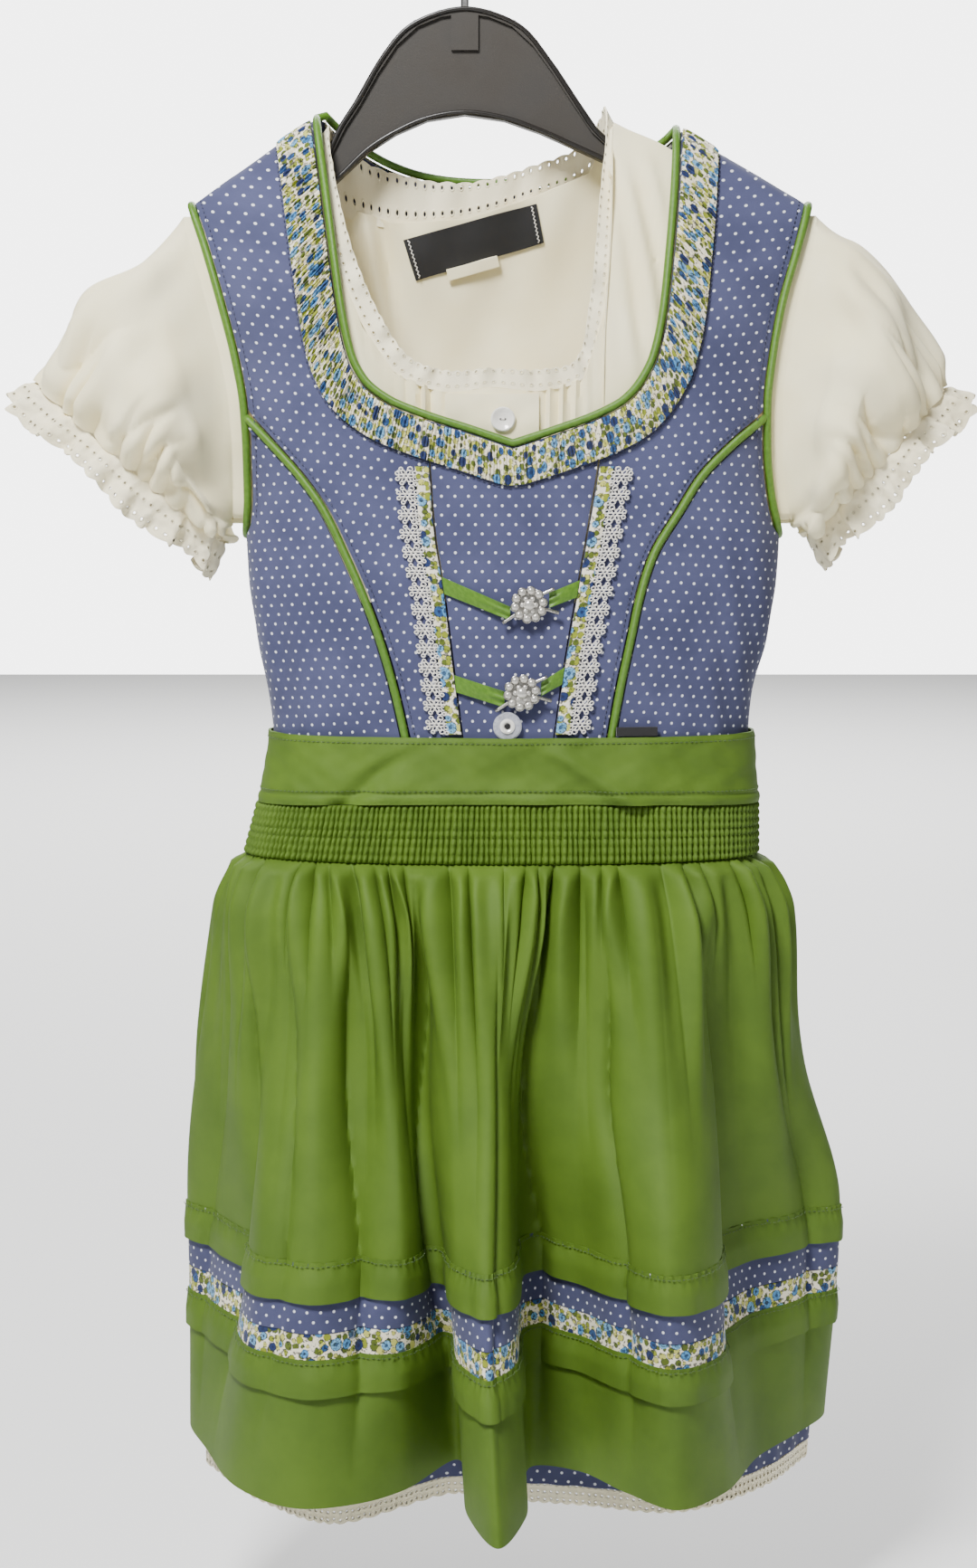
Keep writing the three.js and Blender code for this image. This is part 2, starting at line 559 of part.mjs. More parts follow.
function addHanger() {
  const vectors = (points) => points.map(([x, z]) => new THREE.Vector2(x, z));
  const outline = [
    ...new THREE.SplineCurve(vectors(HANGER_TOP)).getPoints(24),
    ...new THREE.SplineCurve(vectors(HANGER_ARCH)).getPoints(14),
  ];
  // Drawn in x and z, then stood up with its thickness along y.
  const plate = new wasm.CrossSection([outline.map((p) => [p.x, p.y])], "NonZero");
  const slab = (shape, half) => shape.extrude(2 * half).translate([0, 0, -half]).rotate([90, 0, 0]);
  const rim = plate.subtract(plate.offset(-HANGER.rimWidth, "Miter"));
  const top = Math.max(...outline.map((p) => p.y));
  const boss = wasm.CrossSection.square([HANGER.boss, HANGER.bossHeight], true).translate([
    HANGER_MIDDLE,
    top - 1 - HANGER.bossHeight / 2,
  ]);
  const bore = wasm.Manifold.cylinder(2 * HANGER.boreDepth, HANGER.bore, HANGER.bore, 10, true).translate([
    HANGER_MIDDLE,
    0,
    top,
  ]);
  const body = slab(plate, HANGER.web).add(slab(rim.add(boss), HANGER.rim)).subtract(bore);
  add("hanger_body", geometryOf(body), FINISH.hanger);

  // The wire rises out of the bore, leans to one side and comes over in a round hook.
  const shank = WAIST.x + HANGER_MIDDLE;
  const foot = WAIST.z + top - HANGER.boreDepth + SEAM;
  const round = HOOK_RADIUS + WIRE;
  const arc = span(14).map((t) => {
    const turn = degToRad(lerp(-52, 205, t));
    return V(round * Math.cos(turn), 0, round * Math.sin(turn) - HOOK_RADIUS);
  });
  const neck = [V(shank, 0, foot), V(shank, 0, foot + 16), V(shank + 0.4, 0, foot + 23), V(6.5, 0, foot + 28)];
  const path = new THREE.CatmullRomCurve3([...neck, ...arc], false, "centripetal").getPoints(34);
  add("hanger_hook", cord(path, WIRE, 6, () => V(0, 1, 0)), FINISH.wire, dirndl);
}

// ---------- Blouse ----------
const ARM_CORNER = 0.2; // share of the blouse's side border below its underarm
const blouseArm = Object.fromEntries(
  Object.entries(SIDES).map(([name, side]) => {
    const line = seamLine(ARMHOLE, side).map((p) => ({ x: p.x - side * 4, z: p.z }));
    const top = BLOUSE_SHOULDER[side < 0 ? 0 : BLOUSE_SHOULDER.length - 1];
    const sideEdge = (z) => ({ x: side * (halfWidth(side, z, BLOUSE) + BEYOND), z });
    const underarm = sideEdge(UNDERARM);
    const hole = [underarm, ...line.filter((p) => p.z > 98 && p.z < 222), top];
    const seam = [sideEdge(BLOUSE_HEM), sideEdge(78), underarm];
    return [name, { hole, border: bent(seam, hole.slice(1), ARM_CORNER) }];
  }),
);
const split = (a, b, n) => span(n).slice(0, -1).map((t) => straightTo(a, b)(t));

const SHOULDER_COLUMNS = 3;
// The columns of the blouse's upper border: along a shoulder, round the neck, along the other shoulder.
function blouseTop(neck) {
  const [left] = BLOUSE_SHOULDER;
  const right = BLOUSE_SHOULDER[BLOUSE_SHOULDER.length - 1];
  const [start, end] = [neck[0], neck[neck.length - 1]];
  return [
    ...split(left, start, SHOULDER_COLUMNS),
    ...neck,
    ...split(end, right, SHOULDER_COLUMNS).slice(1),
    right,
  ];
}
// Under the neck the columns start straight below their upper ends, so that none crosses the neck's edge.
function addBlouseBody() {
  const { left, right } = Object.fromEntries(
    Object.entries(blouseArm).map(([name, { border }]) => [name, border]),
  );
  const up = [0, ARM_CORNER, 0.45, 0.7, 0.86, 0.95, 1];
  const body = (name, face, neck, borders) => {
    const top = face > 0 ? blouseTop(neck) : blouseTop(neck).reverse();
    const last = top.length - 1;
    const [start, end] = [borders[0](0), borders[1](0)];
    const foot = top.map((p, i) => {
      const nearTop = { ...top[SHOULDER_COLUMNS], z: BLOUSE_HEM };
      const farTop = { ...top[last - SHOULDER_COLUMNS], z: BLOUSE_HEM };
      if (i < SHOULDER_COLUMNS) return straightTo(start, nearTop)(i / SHOULDER_COLUMNS);
      if (last - i < SHOULDER_COLUMNS) {
        return straightTo(end, farTop)((last - i) / SHOULDER_COLUMNS);
      }
      return { x: p.x * 1.02, z: BLOUSE_HEM };
    });
    const surface = panel(
      BLOUSE,
      face,
      { left: borders[0], right: borders[1], bottom: byIndex(foot), top: byIndex(top), fade: 12 },
    );
    add(name, cloth(surface, span(last), up), FINISH.blouse);
  };
  body("blouse_front", 1, BLOUSE_NECK_FRONT, [left, right]);
  body("blouse_back", -1, BLOUSE_NECK_BACK, [right, left]);
}

// A stretch of the front by two corners in x and z.
const frontPatch = (layer, x0, x1, z0, z1) => (u, v) => atTorso(lerp(x0, x1, u), lerp(z0, z1, v), 1, layer);

function addBlousePlacket() {
  const placket = frontPatch(BLOUSE, -28, 13, 108, 151);
  add("blouse_placket", cloth(placket, span(4), span(2), { lift: SEAM + 1, thick: 1 }), FINISH.blouse);
  addButton("blouse_button", BLOUSE, -2.7, 140, 5.4, SEAM + 1.2);
}
function addButton(name, layer, x, z, radius, lift) {
  const profile = [[0, 0], [radius, 0], [radius, 1.4], [radius * 0.8, 1.9], [radius * 0.7, 1.3], [0, 1.3]];
  const disc = new THREE.LatheGeometry(profile.map(([r, h]) => new THREE.Vector2(r, h)), 12);
  const seat = atTorso(x, z, 1, layer);
  add(name, disc.rotateX(Math.PI).translate(x, seat.y - lift, z), FINISH.button);
}

// A sleeve as rings of points: turn runs from its top forwards and down, and s from the armhole to the cuff.
function sleeveSurface(name) {
  const side = SIDES[name];
  const rows = SLEEVES[name].map((row, i) => ({ ...row, s: i / (SLEEVES[name].length - 1) }));
  const column = Object.fromEntries(
    ["topX", "topZ", "lowX", "lowZ", "depth"].map((key) => [key, curve(rows, "s", key)]),
  );
  const hole = byLength(blouseArm[name].hole);
  return (turn, s) => {
    const angle = 2 * Math.PI * turn;
    const out = Math.max(s, 0);
    const gather = smoothstep(out, 0.6, 1) + smoothstep(1 - out, 0.6, 1);
    const puff = 1 + 0.035 * gather * Math.cos(SLEEVE_GATHERS * angle);
    const [topX, topZ, lowX, lowZ] = ["topX", "topZ", "lowX", "lowZ"].map((key) => column[key](out));
    const along = (1 + puff * Math.cos(angle)) / 2;
    const full = V(
      lerp(lowX, topX, along),
      -column.depth(out) * puff * signedPower(Math.sin(angle), 0.85),
      lerp(lowZ, topZ, along),
    );
    if (out > TUNNEL.end) return full;
    const p = hole((1 + Math.cos(angle)) / 2);
    const face = Math.sin(angle) >= 0 ? 1 : -1;
    const edge = atTorso(p.x, p.z, face, BLOUSE);
    edge.x += side * (TUNNEL.start + TUNNEL.length * Math.min(out / TUNNEL.share, 1));
    // Its front and back meet on top and under the arm, and keep room between them beside that.
    const apart = Math.min(8 * Math.abs(Math.sin(angle)), 1);
    edge.y = -face * Math.max(Math.abs(edge.y), TUNNEL.depth) * apart;
    return edge.lerp(full, smoothstep(out, TUNNEL.share, TUNNEL.end));
  };
}
function addSleeve(name) {
  const side = SIDES[name];
  const sleeve = sleeveSurface(name);
  // u has to turn anticlockwise seen from outside, so it runs the other way round on the right.
  const surface = (u, v) => sleeve(side < 0 ? u : -u, 1 - v);
  const rings = [0, 0.22, 0.46, 0.7, 0.9, 1];
  add(`blouse_sleeve_${name}`, cloth(surface, span(3 * SLEEVE_GATHERS), rings, { loop: true }), FINISH.blouse);

  // The lace frill goes on from the elastic, flaring out of the cuff.
  const cuff = SLEEVES[name][SLEEVES[name].length - 1];
  const up = V(cuff.topX - cuff.lowX, 0, cuff.topZ - cuff.lowZ).normalize();
  const middle = V((cuff.topX + cuff.lowX) / 2, 0, (cuff.topZ + cuff.lowZ) / 2);
  const out = V(up.z, 0, -up.x).multiplyScalar(side);
  const frill = (u, v) => {
    const turn = side < 0 ? u : -u;
    const along = 1 - v;
    const rim = sleeve(turn, 1);
    const spoke = rim.clone().sub(middle).normalize();
    const wave = CUFF_FRILL.flare * along * (1 + 0.6 * Math.cos(2 * Math.PI * CUFF_FRILL.waves * turn));
    return rim.addScaledVector(spoke, wave).addScaledVector(out, SEAM + 0.5 + CUFF_FRILL.width * along);
  };
  const across = span(3 * CUFF_FRILL.waves);
  add(`blouse_cuff_frill_${name}`, cloth(frill, across, [0, 1], { loop: true, thick: 1 }), FINISH.lace);
}

// The frill goes on from the neck edge all round, in the blouse's own layer.
function addBlouseNeckFrill() {
  const rows = (points, face, layer) =>
    points.map(({ x, z, alongX = 0, alongZ = BACK_FRILL }, i) => {
      const end = i === 0 || i === points.length - 1;
      const at = (share) => {
        const [px, pz] = [x + alongX * share, z + alongZ * share];
        return end ? V(px, 0, pz) : atTorso(px, pz, face, layer).setZ(pz);
      };
      const inner = { start: at(0.34), end: at(1) };
      if (!end) {
        inner.start.y += face * CLOTH / 2;
        inner.end.y += face * CLOTH / 2;
      }
      return inner;
    });
  const front = rows(BLOUSE_NECK_FRONT, 1, BLOUSE);
  const behind = { inset: BLOUSE_INSET + 2, shoulder: DRESS.shoulder };
  const back = rows(BLOUSE_NECK_BACK, -1, behind).reverse().slice(1, -1);
  const ring = [...front, ...back];
  const [base, tip] = ["start", "end"].map(
    (key) => new THREE.CatmullRomCurve3(ring.map((row) => row[key]), true, "centripetal"),
  );
  const waves = 18;
  const surface = (u, v) => {
    const t = ((u % 1) + 1) % 1;
    const p = base.getPoint(t).lerp(tip.getPoint(t), v);
    p.y += 0.7 * v * Math.cos(2 * Math.PI * waves * t);
    return p;
  };
  add("blouse_neck_frill", cloth(surface, span(3 * waves), [0, 1], { loop: true, thick: 0.8 }), FINISH.lace);
}

// Blank labels on the inside of the blouse's back.
function addLabels() {
  const inside = (corners) => (u, v) => {
    const [a, b, c, d] = corners;
    const x = lerp(lerp(a[0], b[0], u), lerp(d[0], c[0], u), v);
    const z = lerp(lerp(a[1], b[1], u), lerp(d[1], c[1], u), v);
    const p = atTorso(x, z, -1, BLOUSE);
    return p.setY(p.y - CLOTH - SEAM - 1);
  };
  const label = [[-42, 203], [16, 220], [12.5, 237], [-47.5, 221]];
  const care = [[-27, 203], [-4, 209.5], [-5, 214], [-28, 208]];
  add("neck_label", cloth(inside(label), span(4), [0, 1], { thick: 1 }), FINISH.label);
  const careLabel = inside(care);
  const hung = (u, v) => careLabel(u, v).add(V(0, -1.4, 0));
  add("care_label", cloth(hung, span(2), [0, 1], { thick: 1 }), FINISH.blouse);
  const tip = frontPatch(DRESS, 47, 65, BAND_TOP + 0.5, BAND_TOP + 4.5);
  add("waist_label", cloth(tip, span(2), [0, 1], { lift: 2.6, thick: 1 }), FINISH.label);
}

// ---------- Bodice ----------
const seams = Object.fromEntries(
  Object.entries(SIDES).map(([name, side]) => [
    name,
    {
      side,
      neck: seamLine(NECKLINE, side),
      armhole: seamLine(ARMHOLE, side),
      princess: seamLine(PRINCESS, side),
      trim: seamLine(TRIM_SEAM, side),
    },
  ]),
);

// The neckline from the left shoulder down to its point and up to the right shoulder. Its points crowd where it
// runs level, so it is spaced by length.
const wholeNeck = (() => {
  const line = [...seams.left.neck.slice(1).reverse(), ...seams.right.neck];
  return span(96).map(byLength(line));
})();

function addBodiceCentre() {
  const [left, right] = ["left", "right"].map((name) => {
    const { side, trim } = seams[name];
    return byLength(below(moved(trim, -side * SEAM), 139));
  });
  const neckLow = (x) => {
    const rows = NECKLINE.map((row) => ({ away: x < 1.6 ? row.left : row.right, z: row.z }));
    return curve(rows, "away", "z")(Math.max(Math.abs(x), 1.6 * Math.sign(x))) - PIPED;
  };
  const top = (u) => {
    const x = lerp(left(1).x, right(1).x, u);
    return { x, z: neckLow(x) };
  };
  const surface = panel(DRESS, 1, {
    left: (v) => ({ x: left(v).x, z: lerp(WAIST_SEAM, top(0).z, v) }),
    right: (v) => ({ x: right(v).x, z: lerp(WAIST_SEAM, top(1).z, v) }),
    bottom: straightTo(left(0), right(0)),
    top,
  });
  add("bodice_centre", cloth(surface, span(8), span(4)), FINISH.dotted);
}
// The inner border is given by three runs, so that rows fall on its corners.
const FRONT_ROWS = { corner: 0.48, neck: 0.64, low: 6, turn: 5, high: 6 };
function addBodiceFront(name) {
  const { side, neck, armhole, princess, trim } = seams[name];
  const beside = above(moved(neck, side * (PIPED + 0.3)), 141);
  const a = bent(below(moved(trim, side * SEAM), 136), beside, FRONT_ROWS.corner);
  const b = bent(
    below(moved(princess, -side * (PIPED + 0.35)), 140),
    above(moved(armhole, -side * PIPED), 143),
    FRONT_ROWS.neck,
  );
  const [left, right] = side < 0 ? [b, a] : [a, b];
  const surface = panel(DRESS, 1, {
    left,
    right,
    bottom: straightTo(left(0), right(0)),
    top: straightTo(left(1), right(1)),
  });
  // Rows stand close where the inner border turns along the neckline, and again towards the shoulder.
  const [low, turn, high] = [FRONT_ROWS.low, FRONT_ROWS.turn, FRONT_ROWS.high];
  const up = [
    ...span(low).map((t) => t * FRONT_ROWS.corner),
    ...span(turn).slice(1).map((t) => lerp(FRONT_ROWS.corner, FRONT_ROWS.neck, t)),
    ...span(high).slice(1).map((t) => lerp(FRONT_ROWS.neck, 1, 1 - (1 - t) ** 1.6)),
  ];
  add(`bodice_front_${name}`, cloth(surface, span(5), up), FINISH.dotted);
}
const SIDE_ROWS = [0, 0.08, 0.2, 0.35, 0.48, 0.6, 0.64, 0.7, 0.79, 0.89, 1];
const SIDE_CORNER = 0.6;
function addBodiceSide(name) {
  const { side, armhole, princess } = seams[name];
  const edge = span(12).map((t) => {
    const z = lerp(WAIST_SEAM, ARMHOLE[0].z - PIPED - SEAM, t);
    return { x: side * (halfWidth(side, z, DRESS) + BEYOND), z };
  });
  const outer = bent(edge, above(below(moved(armhole, -side * (PIPED + 0.3)), 138), 92), SIDE_CORNER);
  const inner = byLength(below(moved(princess, side * (PIPED + 0.2)), 135));
  const [left, right] = side < 0 ? [outer, inner] : [inner, outer];
  const surface = panel(DRESS, 1, {
    left,
    right,
    bottom: straightTo(left(0), right(0)),
    top: straightTo(left(1), right(1)),
  });
  add(`bodice_side_${name}`, cloth(surface, span(4), SIDE_ROWS), FINISH.dotted);
}
const BACK_ROWS = [0, 0.06, 0.22, 0.4, 0.44, 0.49, 0.58, 0.72, 0.86, 0.95, 1];
const BACK_CORNER = 0.4;
const backNeck = (x) => BACK_NECK.low + BACK_NECK.rise * Math.abs(x / BACK_NECK.reach) ** 3;
function addBodiceBack() {
  const border = (name) => {
    const { side, armhole } = seams[name];
    const edge = span(10).map((t) => {
      const z = lerp(WAIST_SEAM, ARMHOLE[0].z - PIPED - SEAM, t);
      return { x: side * (halfWidth(side, z, DRESS) + BEYOND), z };
    });
    return bent(edge, above(moved(armhole, -side * (PIPED + 1)), 93), BACK_CORNER);
  };
  const [left, right] = [border("right"), border("left")];
  const neckEnd = (name) => {
    const { side, neck } = seams[name];
    return neck[neck.length - 1].x + side * PIPED;
  };
  const [a, b] = [neckEnd("right"), neckEnd("left")];
  const neck = span(8).map((t) => {
    const x = lerp(a, b, 0.5 - 0.5 * Math.cos(Math.PI * t));
    return { x, z: Math.min(backNeck(x) - PIPED - 1.6, DRESS.shoulder(x)) };
  });
  const top = [...split(left(1), neck[0], 3), ...neck, ...split(neck[8], right(1), 3).slice(1), right(1)];
  const surface = panel(DRESS, -1, {
    left,
    right,
    bottom: straightTo(left(0), right(0)),
    top: byIndex(top),
    fade: 3,
  });
  add("bodice_back", cloth(surface, span(top.length - 1), BACK_ROWS), FINISH.dotted);
}

// Corded piping sits in the seams: its middle is half a cloth behind the panels' faces.
function addPiping() {
  const sunk = (p, face) => p.add(V(0, face * CLOTH * 0.5, 0));
  const front = span(40).map((t) => byLength(wholeNeck)(t));
  const back = span(14).slice(1, -1).map((t) => {
    const x = lerp(front[front.length - 1].x, front[0].x, t);
    return { x, z: backNeck(x) };
  });
  const neckPoints = [
    ...front.map(({ x, z }) => sunk(atTorso(x, z, 1, DRESS), 1)),
    ...back.map(({ x, z }) => sunk(atTorso(x, z, -1, DRESS), -1)),
  ];
  const neckMiddle = V(0, 0, 215);
  add("neck_piping", cord(neckPoints, PIPING, 5, (p) => p.clone().sub(neckMiddle), true), FINISH.piping);

  for (const [name, side] of Object.entries(SIDES)) {
    const { armhole, princess } = seams[name];
    const line = byLength(armhole);
    const turns = span(28).slice(0, -1);
    const ring = turns.map((t) => {
      const angle = 2 * Math.PI * t;
      const p = line((1 + Math.cos(angle)) / 2);
      const face = Math.sin(angle) >= 0 ? 1 : -1;
      return atTorso(p.x, p.z, face, DRESS);
    });
    const middle = V(side * 122, 0, 165);
    add(
      `armhole_piping_${name}`,
      cord(ring, PIPING, 5, (p) => p.clone().sub(middle), true),
      FINISH.piping,
    );
    const seam = byLength(above(below(princess, 137), PIPING_FOOT));
    const points = span(14).map((t) => {
      const p = seam(t);
      return sunk(atTorso(p.x, p.z, 1, DRESS), 1);
    });
    add(`princess_piping_${name}`, cord(points, PIPING, 5, () => V(0, 1, 0)), FINISH.piping);
  }
}

// The gathered strip beside the neck piping. Its gathers are raised over a plain inside.
const RUFFLE = { frontWaves: 42, backWaves: 20, under: 0.9, lift: 1.3, wave: 0.8 };
function addNeckRuffle() {
  const gathered = (name, path, face, waves, side) => {
    const strip = stripBeside(path, side * (PIPED + SEAM), side * RUFFLE_WIDTH);
    const base = (u, v) => {
      const p = strip(u, 1 - v);
      return atTorso(p.x, p.z, face, DRESS);
    };
    const gather = (u) => RUFFLE.wave * Math.cos(2 * Math.PI * waves * u);
    const outer = lifted(base, (u) => RUFFLE.under + RUFFLE.lift + gather(u));
    const inner = lifted(base, RUFFLE.under);
    add(name, wall(outer, inner, span(2 * waves), [0, 1]), FINISH.floral);
  };
  gathered("neck_ruffle_front", wholeNeck, 1, RUFFLE.frontWaves, 1);
  const [a, b] = [wholeNeck[0].x, wholeNeck[wholeNeck.length - 1].x];
  const back = span(24).map((t) => {
    const x = lerp(b, a, t);
    return { x, z: Math.min(backNeck(x), DRESS.shoulder(x)) };
  });
  gathered("neck_ruffle_back", back, -1, RUFFLE.backWaves, -1);
}

// Floral strips with guipure lace beside them, over the seams of the centre panel.
function addTrims(name) {
  const { side, trim } = seams[name];
  const run = byLength(above(below(trim, 121), BAND_TOP + 0.6));
  const strip = (from, to, scallop) => (u, v) => {
    const across = side < 0 ? 1 - u : u;
    const p = run(v);
    const edge = to + (scallop ? scallop(v) : 0);
    return atTorso(p.x + side * lerp(from, edge, across), p.z, 1, DRESS);
  };
  add(
    `floral_strip_${name}`,
    cloth(strip(TRIM_EDGE, FLORAL_STRIP), [0, 1], span(7), { lift: STRIP_LIFT, thick: 1 }),
    FINISH.floral,
  );
  const scallops = 14;
  const scallop = (v) => -2.6 * Math.cos(Math.PI * scallops * v) ** 2;
  add(
    `lace_strip_${name}`,
    cloth(
      strip(FLORAL_STRIP + SEAM, FLORAL_STRIP + LACE_STRIP, scallop),
      [0, 1],
      span(2 * scallops),
      { lift: STRIP_LIFT, thick: 1 },
    ),
    FINISH.lace,
  );
}

// Ribbon tabs that hold the two clasps: each one's low and high edge at the seam that it comes out of, and at the
// clasp.
const RIBBONS = [
  { name: "ribbon_upper_left", from: "left", low: 64, high: 71.5, x: 0.5, endLow: 52.5, endHigh: 58.5 },
  { name: "ribbon_upper_right", from: "right", low: 62.5, high: 70, x: 17.5, endLow: 58, endHigh: 64.5 },
  { name: "ribbon_lower_left", from: "left", low: 21, high: 28.5, x: -2, endLow: 14.5, endHigh: 21.5 },
  { name: "ribbon_lower_right", from: "right", low: 24.5, high: 32, x: 14, endLow: 19.5, endHigh: 25.5 },
];
const RIBBON_THICK = 1;
const RIBBON_RISE = 1.5; // how far a tab is pulled off the panel at its clasp
const CLASPS = { clasp_upper: { x: 8.7, z: 59.5 }, clasp_lower: { x: 5.6, z: 21 } };
const CLASP = { radius: 8.3, petals: 8, thick: 2.4, boss: 3.2, lift: 3.3 };

function addFastenings() {
  for (const { name, from, low, high, x, endLow, endHigh } of RIBBONS) {
    const { side, trim } = seams[from];
    const seamAt = curve(trim, "z", "x");
    const share = (u) => (side < 0 ? u : 1 - u);
    const tab = (u, v) => {
      const z = lerp(low, high, v);
      const seam = seamAt(z) + side * (TRIM_EDGE - SEAM);
      return atTorso(lerp(seam, x, share(u)), lerp(z, lerp(endLow, endHigh, v), share(u)), 1, DRESS);
    };
    const lift = (u) => SEAM + RIBBON_RISE * clamp(share(u), 0, 1);
    const band = wall(lifted(tab, (u) => lift(u) + RIBBON_THICK), lifted(tab, lift), span(4), [0, 1]);
    add(name, band, FINISH.piping);
  }
  for (const [name, { x, z }] of Object.entries(CLASPS)) {
    const outline = span(3 * CLASP.petals).slice(0, -1).map((t) => {
      const turn = 2 * Math.PI * t;
      const reach = CLASP.radius * (0.93 + 0.07 * Math.cos(CLASP.petals * turn));
      return new THREE.Vector2(reach * Math.cos(turn), reach * Math.sin(turn));
    });
    const plate = new THREE.ExtrudeGeometry(new THREE.Shape(outline), {
      depth: CLASP.thick,
      bevelEnabled: false,
    });
    const boss = new THREE.SphereGeometry(CLASP.boss, 8, 4).translate(0, 0, CLASP.thick);
    const rosette = union(plate, boss).rotateX(Math.PI / 2);
    const seat = atTorso(x, z, 1, DRESS);
    add(name, rosette.translate(x, seat.y - CLASP.lift, z), FINISH.clasp);
  }
  addButton("bodice_button", DRESS, -0.7, 6.2, 6.3, SEAM + 0.8);
}

// ---------- Apron and skirt ----------
// A drape through a table of folds, that hangs from the torso at the shirring's lower edge.
function drapeOf(folds) {
  const last = folds.length - 1;
  const angles = curve(folds.map((row, i) => ({ i, top: row.top })), "i", "top");
  const columns = folds.map((row) => {
    const start = onTorso(degToRad(row.top), SHIRR_BOTTOM, DRESS);
    const stations = (key, first) => {
      const mid = row[`mid${key}`];
      return curve(
        [
          { z: FOLD_HEIGHT.top, at: first },
          { z: FOLD_HEIGHT.puff, at: lerp(first, mid, PUFF_SHARE) },
          { z: FOLD_HEIGHT.mid, at: mid },
          { z: FOLD_HEIGHT.tuck, at: row[`tuck${key}`] },
          { z: FOLD_HEIGHT.hem, at: row[`hem${key}`] },
        ],
        "z",
        "at",
      );
    };
    return { x: stations("X", start.x), y: stations("Y", start.y) };
  });
  const sections = new Map();
  const sectionAt = (z) => {
    const key = Math.round(z * 1000);
    if (!sections.has(key)) {
      const points = columns.map((fold) => V(fold.x(z), fold.y(z), 0));
      sections.set(key, new THREE.CatmullRomCurve3(points, false, "centripetal"));
    }
    return sections.get(key);
  };
  // k is the share of the way through the rows of folds; the point is moved out level by the lift.
  const at = (k, z, lift = 0) => {
    if (z >= SHIRR_BOTTOM) return bandPoint(degToRad(angles(k * last)), z, lift);
    const section = sectionAt(Math.max(z, LOWEST_SECTION));
    const p = section.getPoint(clamp(k, 0, 1));
    const along = section.getPoint(clamp(k + NEAR, 0, 1)).sub(section.getPoint(clamp(k - NEAR, 0, 1)));
    p.addScaledVector(V(along.y, -along.x, 0).normalize(), lift);
    return V(p.x, p.y, z);
  };
  return { at, angles: (k) => angles(k * last) };
}
// A point on the torso at an angle and a height, moved out level by the lift.
function bandPoint(angle, z, lift) {
  const p = onTorso(angle, z, DRESS);
  const q = onTorso(angle + 1e-3, z, DRESS);
  return p.addScaledVector(V(q.y - p.y, p.x - q.x, 0).normalize(), lift);
}
const apronDrape = drapeOf(APRON_FOLDS);
const skirtDrape = drapeOf(SKIRT_FRONT_FOLDS);
const drape = apronDrape.at;
// Shares of the apron's width at the shirring, turned into shares of the rows of folds.
const shareOfWidth = (() => {
  const steps = 240;
  const points = span(steps).map((k) => drape(k, SHIRR_BOTTOM));
  const run = [0];
  for (let i = 1; i <= steps; i++) run.push(run[i - 1] + points[i].distanceTo(points[i - 1]));
  const rows = run.map((length, i) => ({ share: length / run[steps], k: i / steps }));
  return straight(rows, "share", "k");
})();
// The apron's gathers are strongest at the shirring and fade out down the cloth.
const gatherAt = (share, z) =>
  GATHER_DEPTH * smoothstep(z, -165, -68) * (z > -68 ? smoothstep(-z, 52, 68) : 1) *
  Math.cos(2 * Math.PI * APRON_GATHERS * share);

